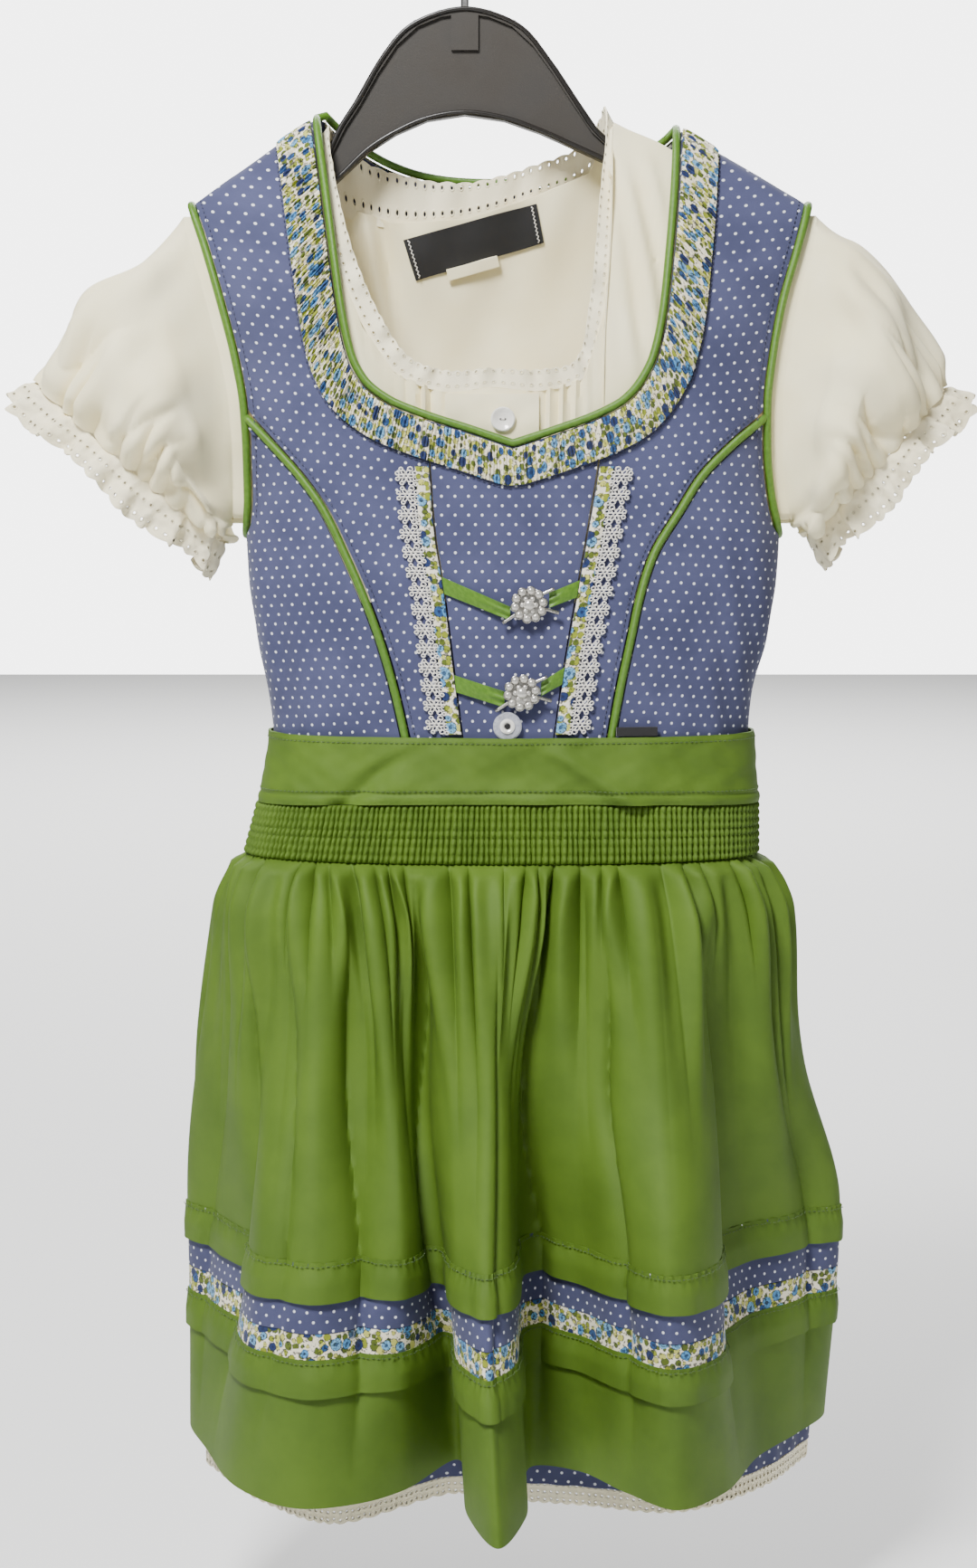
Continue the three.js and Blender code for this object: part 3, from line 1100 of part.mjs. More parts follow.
function apronPiece(name, top, bottom, rows, { lift = 0, thick = CLOTH, columns, material = FINISH.apron }) {
  const surface = (offset) => (share, v) => {
    const z = lerp(bottom, top, v);
    return drape(shareOfWidth(share), z, lift + offset + gatherAt(share, z));
  };
  add(name, wall(surface(0), surface(-thick), span(columns), rows), material);
}
function addApron() {
  const bandEdge = APRON_FOLDS[0].top;
  const bulge = (x, z) => 3.4 * Math.exp(-((x / 15) ** 2)) * smoothstep(z, -18, -3);
  const waistband = (lift) => (u, v) => {
    const angle = degToRad(lerp(bandEdge, -bandEdge, u));
    const sag = 3 * Math.sin(angle) ** 2;
    const z = lerp(BAND_BOTTOM + SEAM - sag, BAND_TOP, v);
    return bandPoint(angle, z, lift + bulge(onTorso(angle, z, DRESS).x, z));
  };
  add(
    "apron_waistband",
    wall(waistband(BAND_LIFT + CLOTH), waistband(BAND_LIFT), span(28), span(2)),
    FINISH.apron,
  );
  const shirring = (lift, rib) => (u, v) => {
    const k = shareOfWidth(u);
    const sag = 3 * Math.sin(degToRad(apronDrape.angles(k))) ** 2;
    const z = lerp(SHIRR_BOTTOM + SEAM, BAND_BOTTOM - sag, v);
    const ripple = rib * (0.5 + 0.5 * Math.cos(2 * Math.PI * SHIRR_RIBS * u));
    return drape(k, z, lift + ripple * (1 - 0.4 * Math.abs(Math.cos(Math.PI * v))));
  };
  add(
    "apron_shirring",
    wall(shirring(0.2, 1), shirring(-1, 0), span(2 * SHIRR_RIBS), span(2), { plainInside: true }),
    FINISH.apron,
  );
  const panelRows = [TUCK_SEAM, -185, -148, -110, -80, SHIRR_BOTTOM].map(
    (z) => (z - TUCK_SEAM) / (SHIRR_BOTTOM - TUCK_SEAM),
  );
  apronPiece("apron_panel", SHIRR_BOTTOM, TUCK_SEAM, panelRows, { columns: 3 * APRON_GATHERS });
  // Every band under a tuck has a row at the tuck's lower edge, so that the two stay parallel.
  const share = (top, bottom, z) => (z - bottom) / (top - bottom);
  const over = { columns: BAND_COLUMNS, lift: SEAM + 1.4, thick: CLOTH };
  const dotted = { columns: BAND_COLUMNS, material: FINISH.dotted };
  const floral = { columns: BAND_COLUMNS, material: FINISH.floral };
  const bandTop = TUCK_SEAM - SEAM;
  apronPiece("apron_tuck_upper", bandTop, TUCK_EDGE, [0, 1], over);
  apronPiece("apron_band_dotted", bandTop, BAND_SEAM, [0, share(bandTop, BAND_SEAM, TUCK_EDGE), 1], dotted);
  apronPiece("apron_band_floral", BAND_SEAM - SEAM, FLORAL_SEAM, [0, 1], floral);
  const hemTop = FLORAL_SEAM - SEAM;
  apronPiece("apron_tuck_lower", hemTop, LOWER_TUCK_EDGE, [0, 1], over);
  apronPiece(
    "apron_hem_panel",
    hemTop,
    APRON_HEM,
    [0, share(hemTop, APRON_HEM, LOWER_TUCK_EDGE), 1],
    { columns: BAND_COLUMNS },
  );
}

// The apron's ties run round the back of the waist to a bow.
const TIE = { middle: -14, width: 24, narrow: 13, stop: 179.9, tail: 180 };
const BOW = [
  { x: 0, out: 4, z: 0 },
  { x: 22, out: 12, z: 3 },
  { x: 46, out: 13, z: -3 },
  { x: 51, out: 8, z: -6 },
  { x: 40, out: 4, z: -5 },
  { x: 0, out: 2.5, z: 0 },
];
function addTies() {
  for (const [name, side] of Object.entries(SIDES)) {
    const start = -APRON_FOLDS[0].top + 0.6;
    const tie = (lift) => (u, v) => {
      const share = side > 0 ? u : 1 - u;
      const width = lerp(TIE.width, TIE.narrow, share ** 2);
      const z = TIE.middle + width * (v - 0.5);
      return bandPoint(side * degToRad(lerp(start, TIE.stop, share)), z, lift);
    };
    const band = wall(tie(BAND_LIFT + CLOTH), tie(BAND_LIFT), span(12), [0, 1]);
    add(`apron_tie_${name}`, band, FINISH.apron);
  }
  const seat = torso.back(TIE.middle) + BAND_LIFT + CLOTH + SEAM;
  const knot = new THREE.SphereGeometry(6.5, 8, 6).scale(1, 0.75, 1.1).translate(0, seat + 5, TIE.middle);
  const loop = (side) => {
    const path = new THREE.CatmullRomCurve3(
      BOW.map((p) => V(side * p.x, seat + p.out, p.z + TIE.middle)),
      false,
      "centripetal",
    );
    const band = (offset) => (u, v) => {
      const share = clamp(u, 0, 1);
      const p = path.getPoint(share);
      const along = path.getTangent(share);
      const wide = 8 + 12 * Math.sin(Math.PI * share);
      const out = V(along.y, -along.x, 0).normalize();
      return p.addScaledVector(out, offset).add(V(0, 0, wide * (v - 0.5)));
    };
    return wall(band(0.6), band(-0.6), span(10), [0, 1]);
  };
  const tail = (side) => {
    const strip = (offset) => (u, v) => {
      const wide = lerp(8, TIE.width, smoothstep(v, 0.1, 0.7));
      const x = side * lerp(2, 30, v) + wide * (u - 0.5);
      const y = seat + 4 + 36 * v + 1.5 * Math.sin(7 * v) + offset;
      return V(x, y, TIE.middle - TIE.tail * v + (u - 0.5) * 12 * v * side);
    };
    return wall(strip(0.6), strip(-0.6), span(1), span(5));
  };
  add("apron_bow", union(knot, loop(-1), loop(1), tail(-1), tail(1)), FINISH.apron);
}

const backDepth = curve(SKIRT_BACK_DEPTH, "z", "depth");
// The skirt lies under the apron's shirring, so it steps in below the waist seam.
const skirtInset = (z) =>
  SEAM + SKIRT_INSET * smoothstep(-z, -WAIST_SEAM - 1, 24) * lerp(0.4, 1, smoothstep(z, -110, -70));
const skirtFront = (u, v, top, bottom, lift) => {
  const z = lerp(bottom, top, v);
  return skirtDrape.at(u, z, lift - skirtInset(z));
};
function skirtBack(u, v, top, bottom, lift) {
  const z = lerp(bottom, top, v);
  const right = skirtFront(1, v, top, bottom, 0);
  const left = skirtFront(0, v, top, bottom, 0);
  const angle = Math.PI * (0.5 - u);
  const sideY = lerp(right.y, left.y, u);
  const low = smoothstep(-z, 20, 330);
  const waves =
    2 * (1 - low * 0.5) * (Math.cos(2 * Math.PI * SKIRT_GATHERS * u) - 1) +
    9 * low * Math.cos(2 * Math.PI * SKIRT_FOLDS * u + 0.8);
  const ends = smoothstep(Math.min(u, 1 - u), 0.03, 0.15) * smoothstep(-z, 14, 40);
  const s = Math.sin(angle);
  const c = Math.max(Math.cos(angle), 0);
  const direction = V(s, 2 * c, 0).normalize();
  return V(
    (right.x + left.x) / 2 + ((right.x - left.x) / 2) * signedPower(s, 2 / ROUNDNESS),
    sideY + SIDE_GAP + (backDepth(z) - sideY) * c ** (2 / ROUNDNESS),
    z,
  ).addScaledVector(direction, lift + waves * ends);
}
function addSkirt() {
  const top = WAIST_SEAM - 1;
  const levels = [SKIRT_HEM, -262, -180, -105, SHIRR_BOTTOM, -26, top];
  const up = levels.map((z) => (z - SKIRT_HEM) / (top - SKIRT_HEM));
  const front = (lift) => (u, v) => skirtFront(u, v, top, SKIRT_HEM, lift);
  const back = (lift) => (u, v) => skirtBack(u, v, top, SKIRT_HEM, lift);
  add("skirt_front", wall(front(0), front(-CLOTH), span(24), up), FINISH.dotted);
  add("skirt_back", wall(back(0), back(-CLOTH), span(2 * SKIRT_GATHERS), up), FINISH.dotted);

  // Lace edging all round the hem.
  const lace = (lift) => (u, v) => {
    const turn = ((u % 1) + 1) % 1;
    const at = [v, SKIRT_HEM - SEAM, LACE_HEM];
    return turn < 0.5 ? skirtFront(2 * turn, ...at, lift) : skirtBack(2 * turn - 1, ...at, lift);
  };
  add("skirt_hem_lace", wall(lace(-0.1), lace(-1.1), span(48), [0, 1], { loop: true }), FINISH.lace);
}

// ---------- Assembly ----------
addHanger();
addBlouseBody();
addBlousePlacket();
addSleeve("left");
addSleeve("right");
addBlouseNeckFrill();
addLabels();
addBodiceCentre();
for (const name of ["left", "right"]) {
  addBodiceFront(name);
  addBodiceSide(name);
  addTrims(name);
}
addBodiceBack();
addPiping();
addNeckRuffle();
addFastenings();
addApron();
addTies();
addSkirt();

export default dirndl;
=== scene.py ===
import math
from types import SimpleNamespace

import bpy
import numpy as np
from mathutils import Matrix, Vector


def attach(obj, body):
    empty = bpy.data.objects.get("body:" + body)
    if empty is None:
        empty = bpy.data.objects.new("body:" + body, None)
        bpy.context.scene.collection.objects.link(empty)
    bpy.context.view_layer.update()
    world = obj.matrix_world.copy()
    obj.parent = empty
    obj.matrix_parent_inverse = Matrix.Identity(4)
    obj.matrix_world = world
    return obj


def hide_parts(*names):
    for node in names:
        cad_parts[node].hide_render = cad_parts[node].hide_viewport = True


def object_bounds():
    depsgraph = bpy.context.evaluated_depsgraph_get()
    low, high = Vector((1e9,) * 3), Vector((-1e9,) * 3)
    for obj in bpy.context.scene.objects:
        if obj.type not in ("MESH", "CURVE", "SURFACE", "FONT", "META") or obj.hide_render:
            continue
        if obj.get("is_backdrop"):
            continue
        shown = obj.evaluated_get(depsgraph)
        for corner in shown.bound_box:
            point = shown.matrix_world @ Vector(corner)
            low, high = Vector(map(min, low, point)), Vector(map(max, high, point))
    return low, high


# A child's dirndl on a hanger. The tables and sizes are millimetres in the garment's own frame, whose origin
# is the middle of the waist; `placed` turns them into metres in the frame of the hook.
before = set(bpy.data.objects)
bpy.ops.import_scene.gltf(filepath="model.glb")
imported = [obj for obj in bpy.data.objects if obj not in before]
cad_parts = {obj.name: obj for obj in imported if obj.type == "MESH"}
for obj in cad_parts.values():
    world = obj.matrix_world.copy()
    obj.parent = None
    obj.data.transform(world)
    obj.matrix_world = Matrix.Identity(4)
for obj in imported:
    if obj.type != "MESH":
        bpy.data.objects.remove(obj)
cad_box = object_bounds()

# ---------- Driving dimensions, as in the solids ----------
WAIST = (22, 0, -376)
CLOTH = 1.2
SEAM = 0.3
SPLIT = 0.5
PIPING = 1.8
PIPED = PIPING + SEAM
BLOUSE_INSET = 4.5
SHOULDER_ROLL = 130
ROUNDNESS = 2.5
WAIST_SEAM = -12
BAND_TOP = 1
BAND_LIFT = 1.8
PIPING_FOOT = -11.5
BAND_BOTTOM = -28.5
SHIRR_BOTTOM = -55
TUCK_SEAM = -221
TUCK_EDGE = -238
BAND_SEAM = -251
FLORAL_SEAM = -262
LOWER_TUCK_EDGE = -278
APRON_HEM = -325
SKIRT_HEM = -338
LACE_HEM = -346
BLOUSE_HEM = 60
UNDERARM = 94
RUFFLE_WIDTH = 18.5
TRIM_EDGE = 0.5
FLORAL_STRIP = 6.5
STRIP_LIFT = 1.6
NARROWEST_SHEET = 0.0101
SLIMMEST_CUT = 0.31
TINY = 1e-9
SIDES = {"left": -1, "right": 1}


def table(columns, *rows):
    names = columns.split()
    return [dict(zip(names, row)) for row in rows]


TORSO = table(
    "z left right front back",
    (-55, 118.7, 112.3, 46, 32),
    (-30, 112.2, 112.0, 44, 30),
    (0, 106.6, 108.4, 41, 27),
    (46, 114.4, 117.3, 40, 26),
    (69, 117.4, 121.1, 39, 26),
    (89, 118.0, 121.7, 38, 26),
    (113, 119.0, 119.5, 38, 26),
    (133, 122.5, 121.0, 38, 27),
    (169, 131.0, 127.0, 38, 28),
    (217, 152.0, 144.0, 38, 30),
    (275, 175.0, 166.0, 38, 30),
)
DRESS_SHOULDER = [(-141.1, 235), (-85.1, 273), (-40, 285), (36, 284), (74.4, 268.3), (133.2, 235)]
BLOUSE_SHOULDER = [(-134, 230), (-100, 254.5), (-83.5, 265.5), (46, 271.5), (74, 262.5), (126, 230.5)]
NECKLINE = table(
    "z left right",
    (129.5, -1.6, 1.6),
    (135.8, 17, 21),
    (142, 36.5, 38),
    (148.5, 52.3, 50),
    (157, 63, 57.5),
    (168, 68.8, 62.9),
    (187, 73, 67),
    (208, 76, 69.3),
    (240, 80.3, 72.2),
    (273, 85.1, 74.4),
)
ARMHOLE = table(
    "z left right",
    (89, 118, 121.7),
    (106, 116.6, 117.4),
    (126, 116.6, 114.9),
    (146, 117.5, 114.4),
    (167, 121, 116.4),
    (191, 127, 120.6),
    (215, 134, 127.5),
    (235, 141.1, 133.2),
)
PRINCESS = table(
    "z left right",
    (-12, 43, 43),
    (22, 50.6, 49),
    (43, 56.7, 53.4),
    (64, 64.5, 57.9),
    (81, 72, 63.5),
    (100, 81.3, 75),
    (115, 92, 84.6),
    (129, 104.7, 98.5),
    (141, 116.3, 113.5),
)
TRIM_SEAM = table(
    "z left right",
    (-12, 18.7, 18),
    (35, 24.6, 24.6),
    (66, 28.4, 30),
    (90, 32.3, 34.2),
    (120, 34.6, 39.1),
    (142, 36.4, 41.5),
)
BACK_NECK = SimpleNamespace(low=247, reach=80, rise=26)
BACK_FRILL = 13
BLOUSE_NECK_FRONT = table(
    "x z along_x along_z",
    (-83.5, 265.5, 3.5, 4),
    (-82, 246, 5, 2),
    (-76, 210, 8, 2),
    (-64, 180, 8, 4),
    (-50, 160, 7, 6),
    (-28, 151.5, 1, 9),
    (-8, 153.5, 0, 8),
    (14, 152, -1, 9),
    (33, 158, -4, 7),
    (42, 188, -7, 2),
    (45, 228, -6, 1),
    (46, 271.5, -3, 6),
)
BLOUSE_NECK_BACK = table(
    "x z along_x along_z",
    (-83.5, 265.5, 0, BACK_FRILL),
    (-80, 254, 4, 5),
    (-77, 237, 0, 23),
    (-52, 229, 0, 21),
    (-20, 231, 0, 15),
    (10, 240, 0, BACK_FRILL),
    (36, 251, 0, BACK_FRILL),
    (46, 271.5, 0, BACK_FRILL),
)
SLEEVES = {
    "left": table(
        "top_x top_z low_x low_z depth",
        (-140, 229, -120, 94, 15),
        (-150, 222, -124.5, 93, 22),
        (-166, 213, -126, 92, 35),
        (-187, 198, -127, 90.5, 42),
        (-199.5, 177, -128, 88.5, 38),
        (-210, 156, -129, 86.5, 26),
    ),
    "right": table(
        "top_x top_z low_x low_z depth",
        (132, 229, 123, 94, 15),
        (142, 224, 127.5, 93.5, 22),
        (157, 215, 130.5, 93, 35),
        (173, 199, 132.5, 92, 42),
        (183, 178, 134, 91, 38),
        (194, 154, 135.5, 90, 26),
    ),
}
SLEEVE_GATHERS = 12
TUNNEL = SimpleNamespace(start=1.8, length=9, share=0.1, end=0.32, depth=2)
APRON_FOLDS = table(
    "top mid_x mid_y tuck_x tuck_y hem_x hem_y",
    (-106, -138, 26, -143, 38, -141, 30),
    (-92, -144.7, 4, -151, 10, -149, 2),
    (-66, -124, -36, -125, -34, -137, -38),
    (-47, -104, -58, -109, -84, -119, -84),
    (-40, -86, -72, -87, -94, -92, -108),
    (-33, -64, -63, -64, -88, -66, -103),
    (-26, -51, -71, -46, -90, -46, -87),
    (-16, -39, -56, -31, -72, -23, -50),
    (-10, -25, -72, -23, -98, -18, -116),
    (-3, -9, -80, -10, -111, -5, -152),
    (2, 0, -72, 1, -98, 7, -118),
    (6, 10, -57, 9, -54, 11, -58),
    (11, 28, -60, 31, -66, 31, -64),
    (16, 41, -69, 49, -97, 51, -90),
    (24, 65, -82, 67, -113, 72, -110),
    (36, 84, -68, 88, -98, 94, -90),
    (50, 103, -38, 108, -32, 113, -46),
    (63, 123, -30, 132, -16, 134, -16),
    (92, 136, 2, 156, 4, 150, 12),
    (106, 130, 26, 150, 34, 146, 38),
)
SKIRT_FRONT_FOLDS = table(
    "top mid_x mid_y tuck_x tuck_y hem_x hem_y",
    (-92, -140, 4, -145, 10, -144, 4),
    (-52, -105, -42, -106, -45, -112, -46),
    (-36, -75, -55, -75, -66, -77, -72),
    (-17, -38, -46, -31, -56, -25, -40),
    (-4, -10, -46, -10, -46, -6, -44),
    (12, 28, -48, 30, -46, 31, -50),
    (30, 72, -46, 74, -50, 76, -58),
    (56, 110, -24, 116, -14, 118, -26),
    (92, 131, 2, 149, 6, 145, 12),
)
FOLD_HEIGHT = SimpleNamespace(top=SHIRR_BOTTOM, puff=-80, mid=-148, tuck=TUCK_SEAM, hem=APRON_HEM)
PUFF_SHARE = 0.45
APRON_GATHERS = 20
GATHER_DEPTH = 2.6
GATHERS = SimpleNamespace(count=29, depth=7.4, reach=-126, broad=3.6, long=0.9)
VALLEY_WIDTH = 0.2
VALLEYS = [
    (0.9, 4), (1.6, 5), (2.3, 8), (3.4, 4), (4.9, 8), (7.0, 9), (9.4, 4), (11.1, 10), (13.0, 6), (15.6, 9),
    (17.2, 6), (18.2, 4),
]
SHIRR_RIBS = 115
SHIRR_ROWS = 7
SKIRT_BACK_DEPTH = [(LACE_HEM, 58), (TUCK_SEAM, 54), (-148, 48), (SHIRR_BOTTOM, 30), (WAIST_SEAM, 27)]
SKIRT_INSET = 4
SKIRT_GATHERS = 18
SKIRT_FOLDS = 6
SIDE_GAP = 1
HEM_SCALLOPS = 120


# ---------- Numbers, curves and lines ----------
def smooth(x, low, high):
    t = np.clip((x - low) / (high - low), 0, 1)
    return t * t * (3 - 2 * t)


def lerp(a, b, t):
    return a + (b - a) * t


def signed_power(a, p):
    return np.sign(a) * np.abs(a) ** p


def bell(x, centre, width):
    return np.exp(-(((x - centre) / width) ** 2))


def ripple(share, *waves):
    """A sum of sine waves along a width of 1, each given as its count, height and phase."""
    return sum(height * np.sin(2 * np.pi * count * share + phase) for count, height, phase in waves)


def puffs(turns, power=1):
    """Rounded folds from 0 to 1, one a turn, with creases between them that a low power makes narrow."""
    return np.abs(np.sin(np.pi * turns)) ** power


def unit(v):
    return v / np.maximum(np.linalg.norm(v, axis=-1, keepdims=True), TINY)


def gaps(p, axis=0):
    """The distances between neighbouring points."""
    return np.linalg.norm(np.diff(p, axis=axis), axis=-1)


def added_up(steps):
    """Running totals that start at 0."""
    return np.concatenate([[0], np.cumsum(steps)])


def round_turn(count):
    """Even angles once round, without the last one."""
    return np.linspace(0, 2 * np.pi, count, endpoint=False)


def points(x, y, z):
    return np.stack(np.broadcast_arrays(x, y, z), axis=-1).astype(float)


def monotone(xs, ys):
    """A smooth curve through the points that never overshoots them, and goes on straight past its ends."""
    xs, ys = np.asarray(xs, float), np.asarray(ys, float)
    order = np.argsort(xs)
    xs, ys = xs[order], ys[order]
    step = np.diff(xs)
    rise = np.diff(ys) / step
    slope = np.concatenate([rise[:1], np.zeros(len(xs) - 2), rise[-1:]])
    product = rise[:-1] * rise[1:]
    total = np.where(product > 0, rise[:-1] + rise[1:], 1)
    slope[1:-1] = np.where(product > 0, 2 * product / total, 0)

    def at(x):
        x = np.asarray(x, float)
        i = np.clip(np.searchsorted(xs, x, side="right") - 1, 0, len(xs) - 2)
        t = np.clip((x - xs[i]) / step[i], 0, 1)
        keep = (1 + 2 * t) * (1 - t) ** 2
        inside = keep * ys[i] + (1 - keep) * ys[i + 1]
        inside += step[i] * t * (1 - t) * ((1 - t) * slope[i] - t * slope[i + 1])
        return inside + slope[0] * np.minimum(x - xs[0], 0) + slope[-1] * np.maximum(x - xs[-1], 0)

    return at


def curve(rows, along, of):
    return monotone([row[along] for row in rows], [row[of] for row in rows])


def straight(rows):
    """Straight stretches through (x, y) rows that go on past both ends."""
    xs, ys = np.array(rows, float).T
    first = (ys[1] - ys[0]) / (xs[1] - xs[0])
    last = (ys[-1] - ys[-2]) / (xs[-1] - xs[-2])

    def at(x):
        past = first * np.minimum(x - xs[0], 0) + last * np.maximum(x - xs[-1], 0)
        return np.interp(x, xs, ys) + past

    return at


def seam_line(rows, side, steps=96):
    """A seam as points (x, z), from its lower end up."""
    distance = curve(rows, "z", "left" if side < 0 else "right")
    z = np.linspace(rows[0]["z"], rows[-1]["z"], steps + 1)
    return np.stack([side * distance(z), z], axis=1)


def moved(line, d):
    """The line moved sideways; d is positive to the right of its direction."""
    along = unit(np.gradient(line, axis=0))
    return line + d * np.stack([along[:, 1], -along[:, 0]], axis=1)


def above(line, z):
    return line[line[:, 1] >= z]


def below(line, z):
    return line[line[:, 1] <= z]


def interpolated(line, shares):
    return lambda t: np.stack([np.interp(t, shares, column) for column in line.T], axis=-1)


def by_length(line):
    """The line's points as a function of their share of its length."""
    line = np.asarray(line, float)
    run = added_up(gaps(line))
    return interpolated(line, run / run[-1])


def by_index(line):
    """The line's points as a function of their share of its number of points."""
    line = np.asarray(line, float)
    return interpolated(line, np.linspace(0, 1, len(line)))


def bent(low, high, corner):
    """Two lines run through one after the other, with their corner at a given share."""
    first, second = by_length(low), by_length(np.vstack([low[-1:], high]))

    def at(t):
        t = np.asarray(t, float)
        lower = first(np.clip(t / corner, 0, 1))
        return np.where((t < corner)[..., None], lower, second(np.clip((t - corner) / (1 - corner), 0, 1)))

    return at


def straight_to(a, b):
    a, b = np.asarray(a, float), np.asarray(b, float)
    return lambda t: a + (b - a) * np.asarray(t, float)[..., None]


def spline(control, closed=False, steps=24):
    """A centripetal Catmull-Rom curve through the points, as a function of the share of its points."""
    control = np.asarray(control, float)
    if closed:
        padded = np.vstack([control[-1:], control, control[:2]])
    else:
        padded = np.vstack([2 * control[0] - control[1], control, 2 * control[-1] - control[-2]])
    rows = []
    for i in range(len(padded) - 3):
        p = padded[i : i + 4]
        knots = added_up(np.sqrt(gaps(p)))
        t = np.linspace(knots[1], knots[2], steps, endpoint=False)[:, None]

        def between(pair, start, end):
            return ((end - t) * pair[0] + (t - start) * pair[1]) / (end - start)

        a = [between(p[j : j + 2], knots[j], knots[j + 1]) for j in range(3)]
        b = [between(a[j : j + 2], knots[j], knots[j + 2]) for j in range(2)]
        rows.append(between(b, knots[1], knots[2]))
    rows.append(control[:1] if closed else control[-1:])
    return by_index(np.vstack(rows))


def crumple(p, size, seed, octaves=2):
    """A smooth random height of about -1 to 1 at each point, with bumps of about the given size."""
    rng = np.random.default_rng(seed)
    total = np.zeros(p.shape[:-1])
    for octave in range(octaves):
        for _ in range(6):
            direction = rng.normal(size=3)
            direction *= 2 * np.pi * 2**octave / (size * np.linalg.norm(direction))
            phase = rng.uniform(0, 2 * np.pi)
            total += np.sin(p @ direction + phase) / (4 * 1.7**octave)
    return total


# ---------- The torso that every piece above the apron's shirring lies on ----------
torso = {column: curve(TORSO, "z", column) for column in ("left", "right", "front", "back")}
DRESS = SimpleNamespace(inset=0, shoulder=straight(DRESS_SHOULDER))
BLOUSE = SimpleNamespace(inset=BLOUSE_INSET, shoulder=straight(BLOUSE_SHOULDER))
BEHIND = SimpleNamespace(inset=BLOUSE_INSET + 2, shoulder=DRESS.shoulder)
BEYOND = 1


def half_width(side, z, layer):
    return np.where(np.asarray(side) < 0, torso["left"](z), torso["right"](z)) - layer.inset


def front_angle(x, z, layer):
    """The angle from the middle of the front, negative to the left, of a place on the front half."""
    share = np.minimum(np.abs(x) / half_width(x, z, layer), 1)
    return np.arcsin(share ** (ROUNDNESS / 2)) * np.where(np.asarray(x) < 0, -1, 1)


def angle_of(x, z, face, layer):
    angle = front_angle(x, z, layer)
    return angle if face > 0 else np.pi - angle


def on_torso(angle, z, layer, shift=0):
    s, c = np.sin(angle), np.cos(angle)
    x = signed_power(s, 2 / ROUNDNESS) * half_width(s, z, layer)
    depth = np.where(c > 0, torso["front"](z), torso["back"](z)) - layer.inset
    roof = layer.shoulder(x)
    drop = np.clip((roof - z) / SHOULDER_ROLL, 0, 1)
    half = depth * np.abs(c) ** (2 / ROUNDNESS) * np.sqrt(drop * (2 - drop))
    return points(x, -np.sign(c) * half - shift, np.minimum(z, roof))


def at_torso(x, z, face, layer):
    return on_torso(angle_of(x, z, face, layer), z, layer, face * SPLIT)


def front_depth(x, z, layer):
    """How far forward the layer's front lies at one place."""
    return at_torso(np.float64(x), np.float64(z), 1, layer)[1]


def side_edge(side, bottom, top, layer, steps=40):
    """The side seam of a layer, just past its half width."""
    z = np.linspace(bottom, top, steps)
    return np.stack([side * (half_width(side, z, layer) + BEYOND), z], axis=1)


def rung(left, right, share):
    """The straight line between two lines' points at the same share."""
    return straight_to(left(np.float64(share)), right(np.float64(share)))


def panel(layer, face, left, right, bottom=None, top=None, fade=1):
    """A panel between border lines, laid on the torso; u runs anticlockwise from above, v runs up."""

    def flat(line):
        def at(t):
            p = line(t)
            return np.stack([angle_of(p[..., 0], p[..., 1], face, layer), p[..., 1]], axis=-1)

        return at

    bottom, top = bottom or rung(left, right, 0), top or rung(left, right, 1)
    sides = [flat(line) for line in (left, right, bottom, top)]

    def surface(u, v):
        low, high = sides[2](u), sides[3](u)
        ends = [lerp(sides[2](np.float64(e)), sides[3](np.float64(e)), v[..., None]) for e in (0, 1)]
        p = lerp(low, high, v[..., None])
        p = p + ((1 - u) ** fade)[..., None] * (sides[0](v) - ends[0])
        p = p + (u**fade)[..., None] * (sides[1](v) - ends[1])
        return on_torso(p[..., 0], p[..., 1], layer, face * SPLIT)

    return surface


# The length round the chest from the middle of the front, by angle, for patterns that follow the cloth.
CHEST = 100
RING_STEPS = 721
ring_angles = np.linspace(-np.pi, np.pi, RING_STEPS)
ring_run = added_up(gaps(on_torso(ring_angles, np.full(RING_STEPS, float(CHEST)), DRESS)))
ring_run -= np.interp(0, ring_angles, ring_run)


def round_chest(p, tilt=0.0):
    """Flat cloth coordinates of points on the torso, turned by the tilt of the cloth's grain."""
    x, y, z = p[..., 0], p[..., 1], p[..., 2]
    angle = front_angle(x, z, DRESS)
    turned = np.where(y > 0, np.where(x < 0, -np.pi, np.pi) - angle, angle)
    s = np.interp(turned, ring_angles, ring_run)
    s = np.where((y > 0) & (x < 0), s + ring_run[-1] - ring_run[0], s)
    return s * math.cos(tilt) - z * math.sin(tilt), s * math.sin(tilt) + z * math.cos(tilt)


# ---------- Meshes ----------
SHARP_CLOTH = 55
SHARP_BUTTON = 40


def placed(p):
    return (np.asarray(p, float) + WAIST) / 1000


def grid(columns, rows):
    return np.meshgrid(np.linspace(0, 1, columns + 1), np.linspace(0, 1, rows + 1))


def normals(p, loop=False):
    if loop:
        ring = np.concatenate([p[:, -2:-1], p, p[:, 1:2]], axis=1)
        across = (ring[:, 2:] - ring[:, :-2]) / 2
    else:
        across = np.gradient(p, axis=1)
    return unit(np.cross(across, np.gradient(p, axis=0)))


def linked(name, mesh):
    obj = bpy.data.objects.new(name, mesh)
    bpy.context.collection.objects.link(obj)
    return obj


def mesh_object(name, p, faces, material, uv=None, sharp=None):
    """A smooth mesh from points in the garment's frame; uv is flat points and their indices by face."""
    mesh = bpy.data.meshes.new(name)
    mesh.from_pydata(placed(p).tolist(), [], faces)
    if uv:
        corners = np.array([i for face in uv[1] for i in face])
        layer = mesh.uv_layers.new(name="cloth")
        layer.data.foreach_set("uv", (uv[0][corners] / 1000).astype(np.float32).ravel())
    mesh.shade_smooth()
    if sharp:
        mesh.set_sharp_from_angle(angle=math.radians(sharp))
    mesh.materials.append(material)
    return linked(name, mesh)


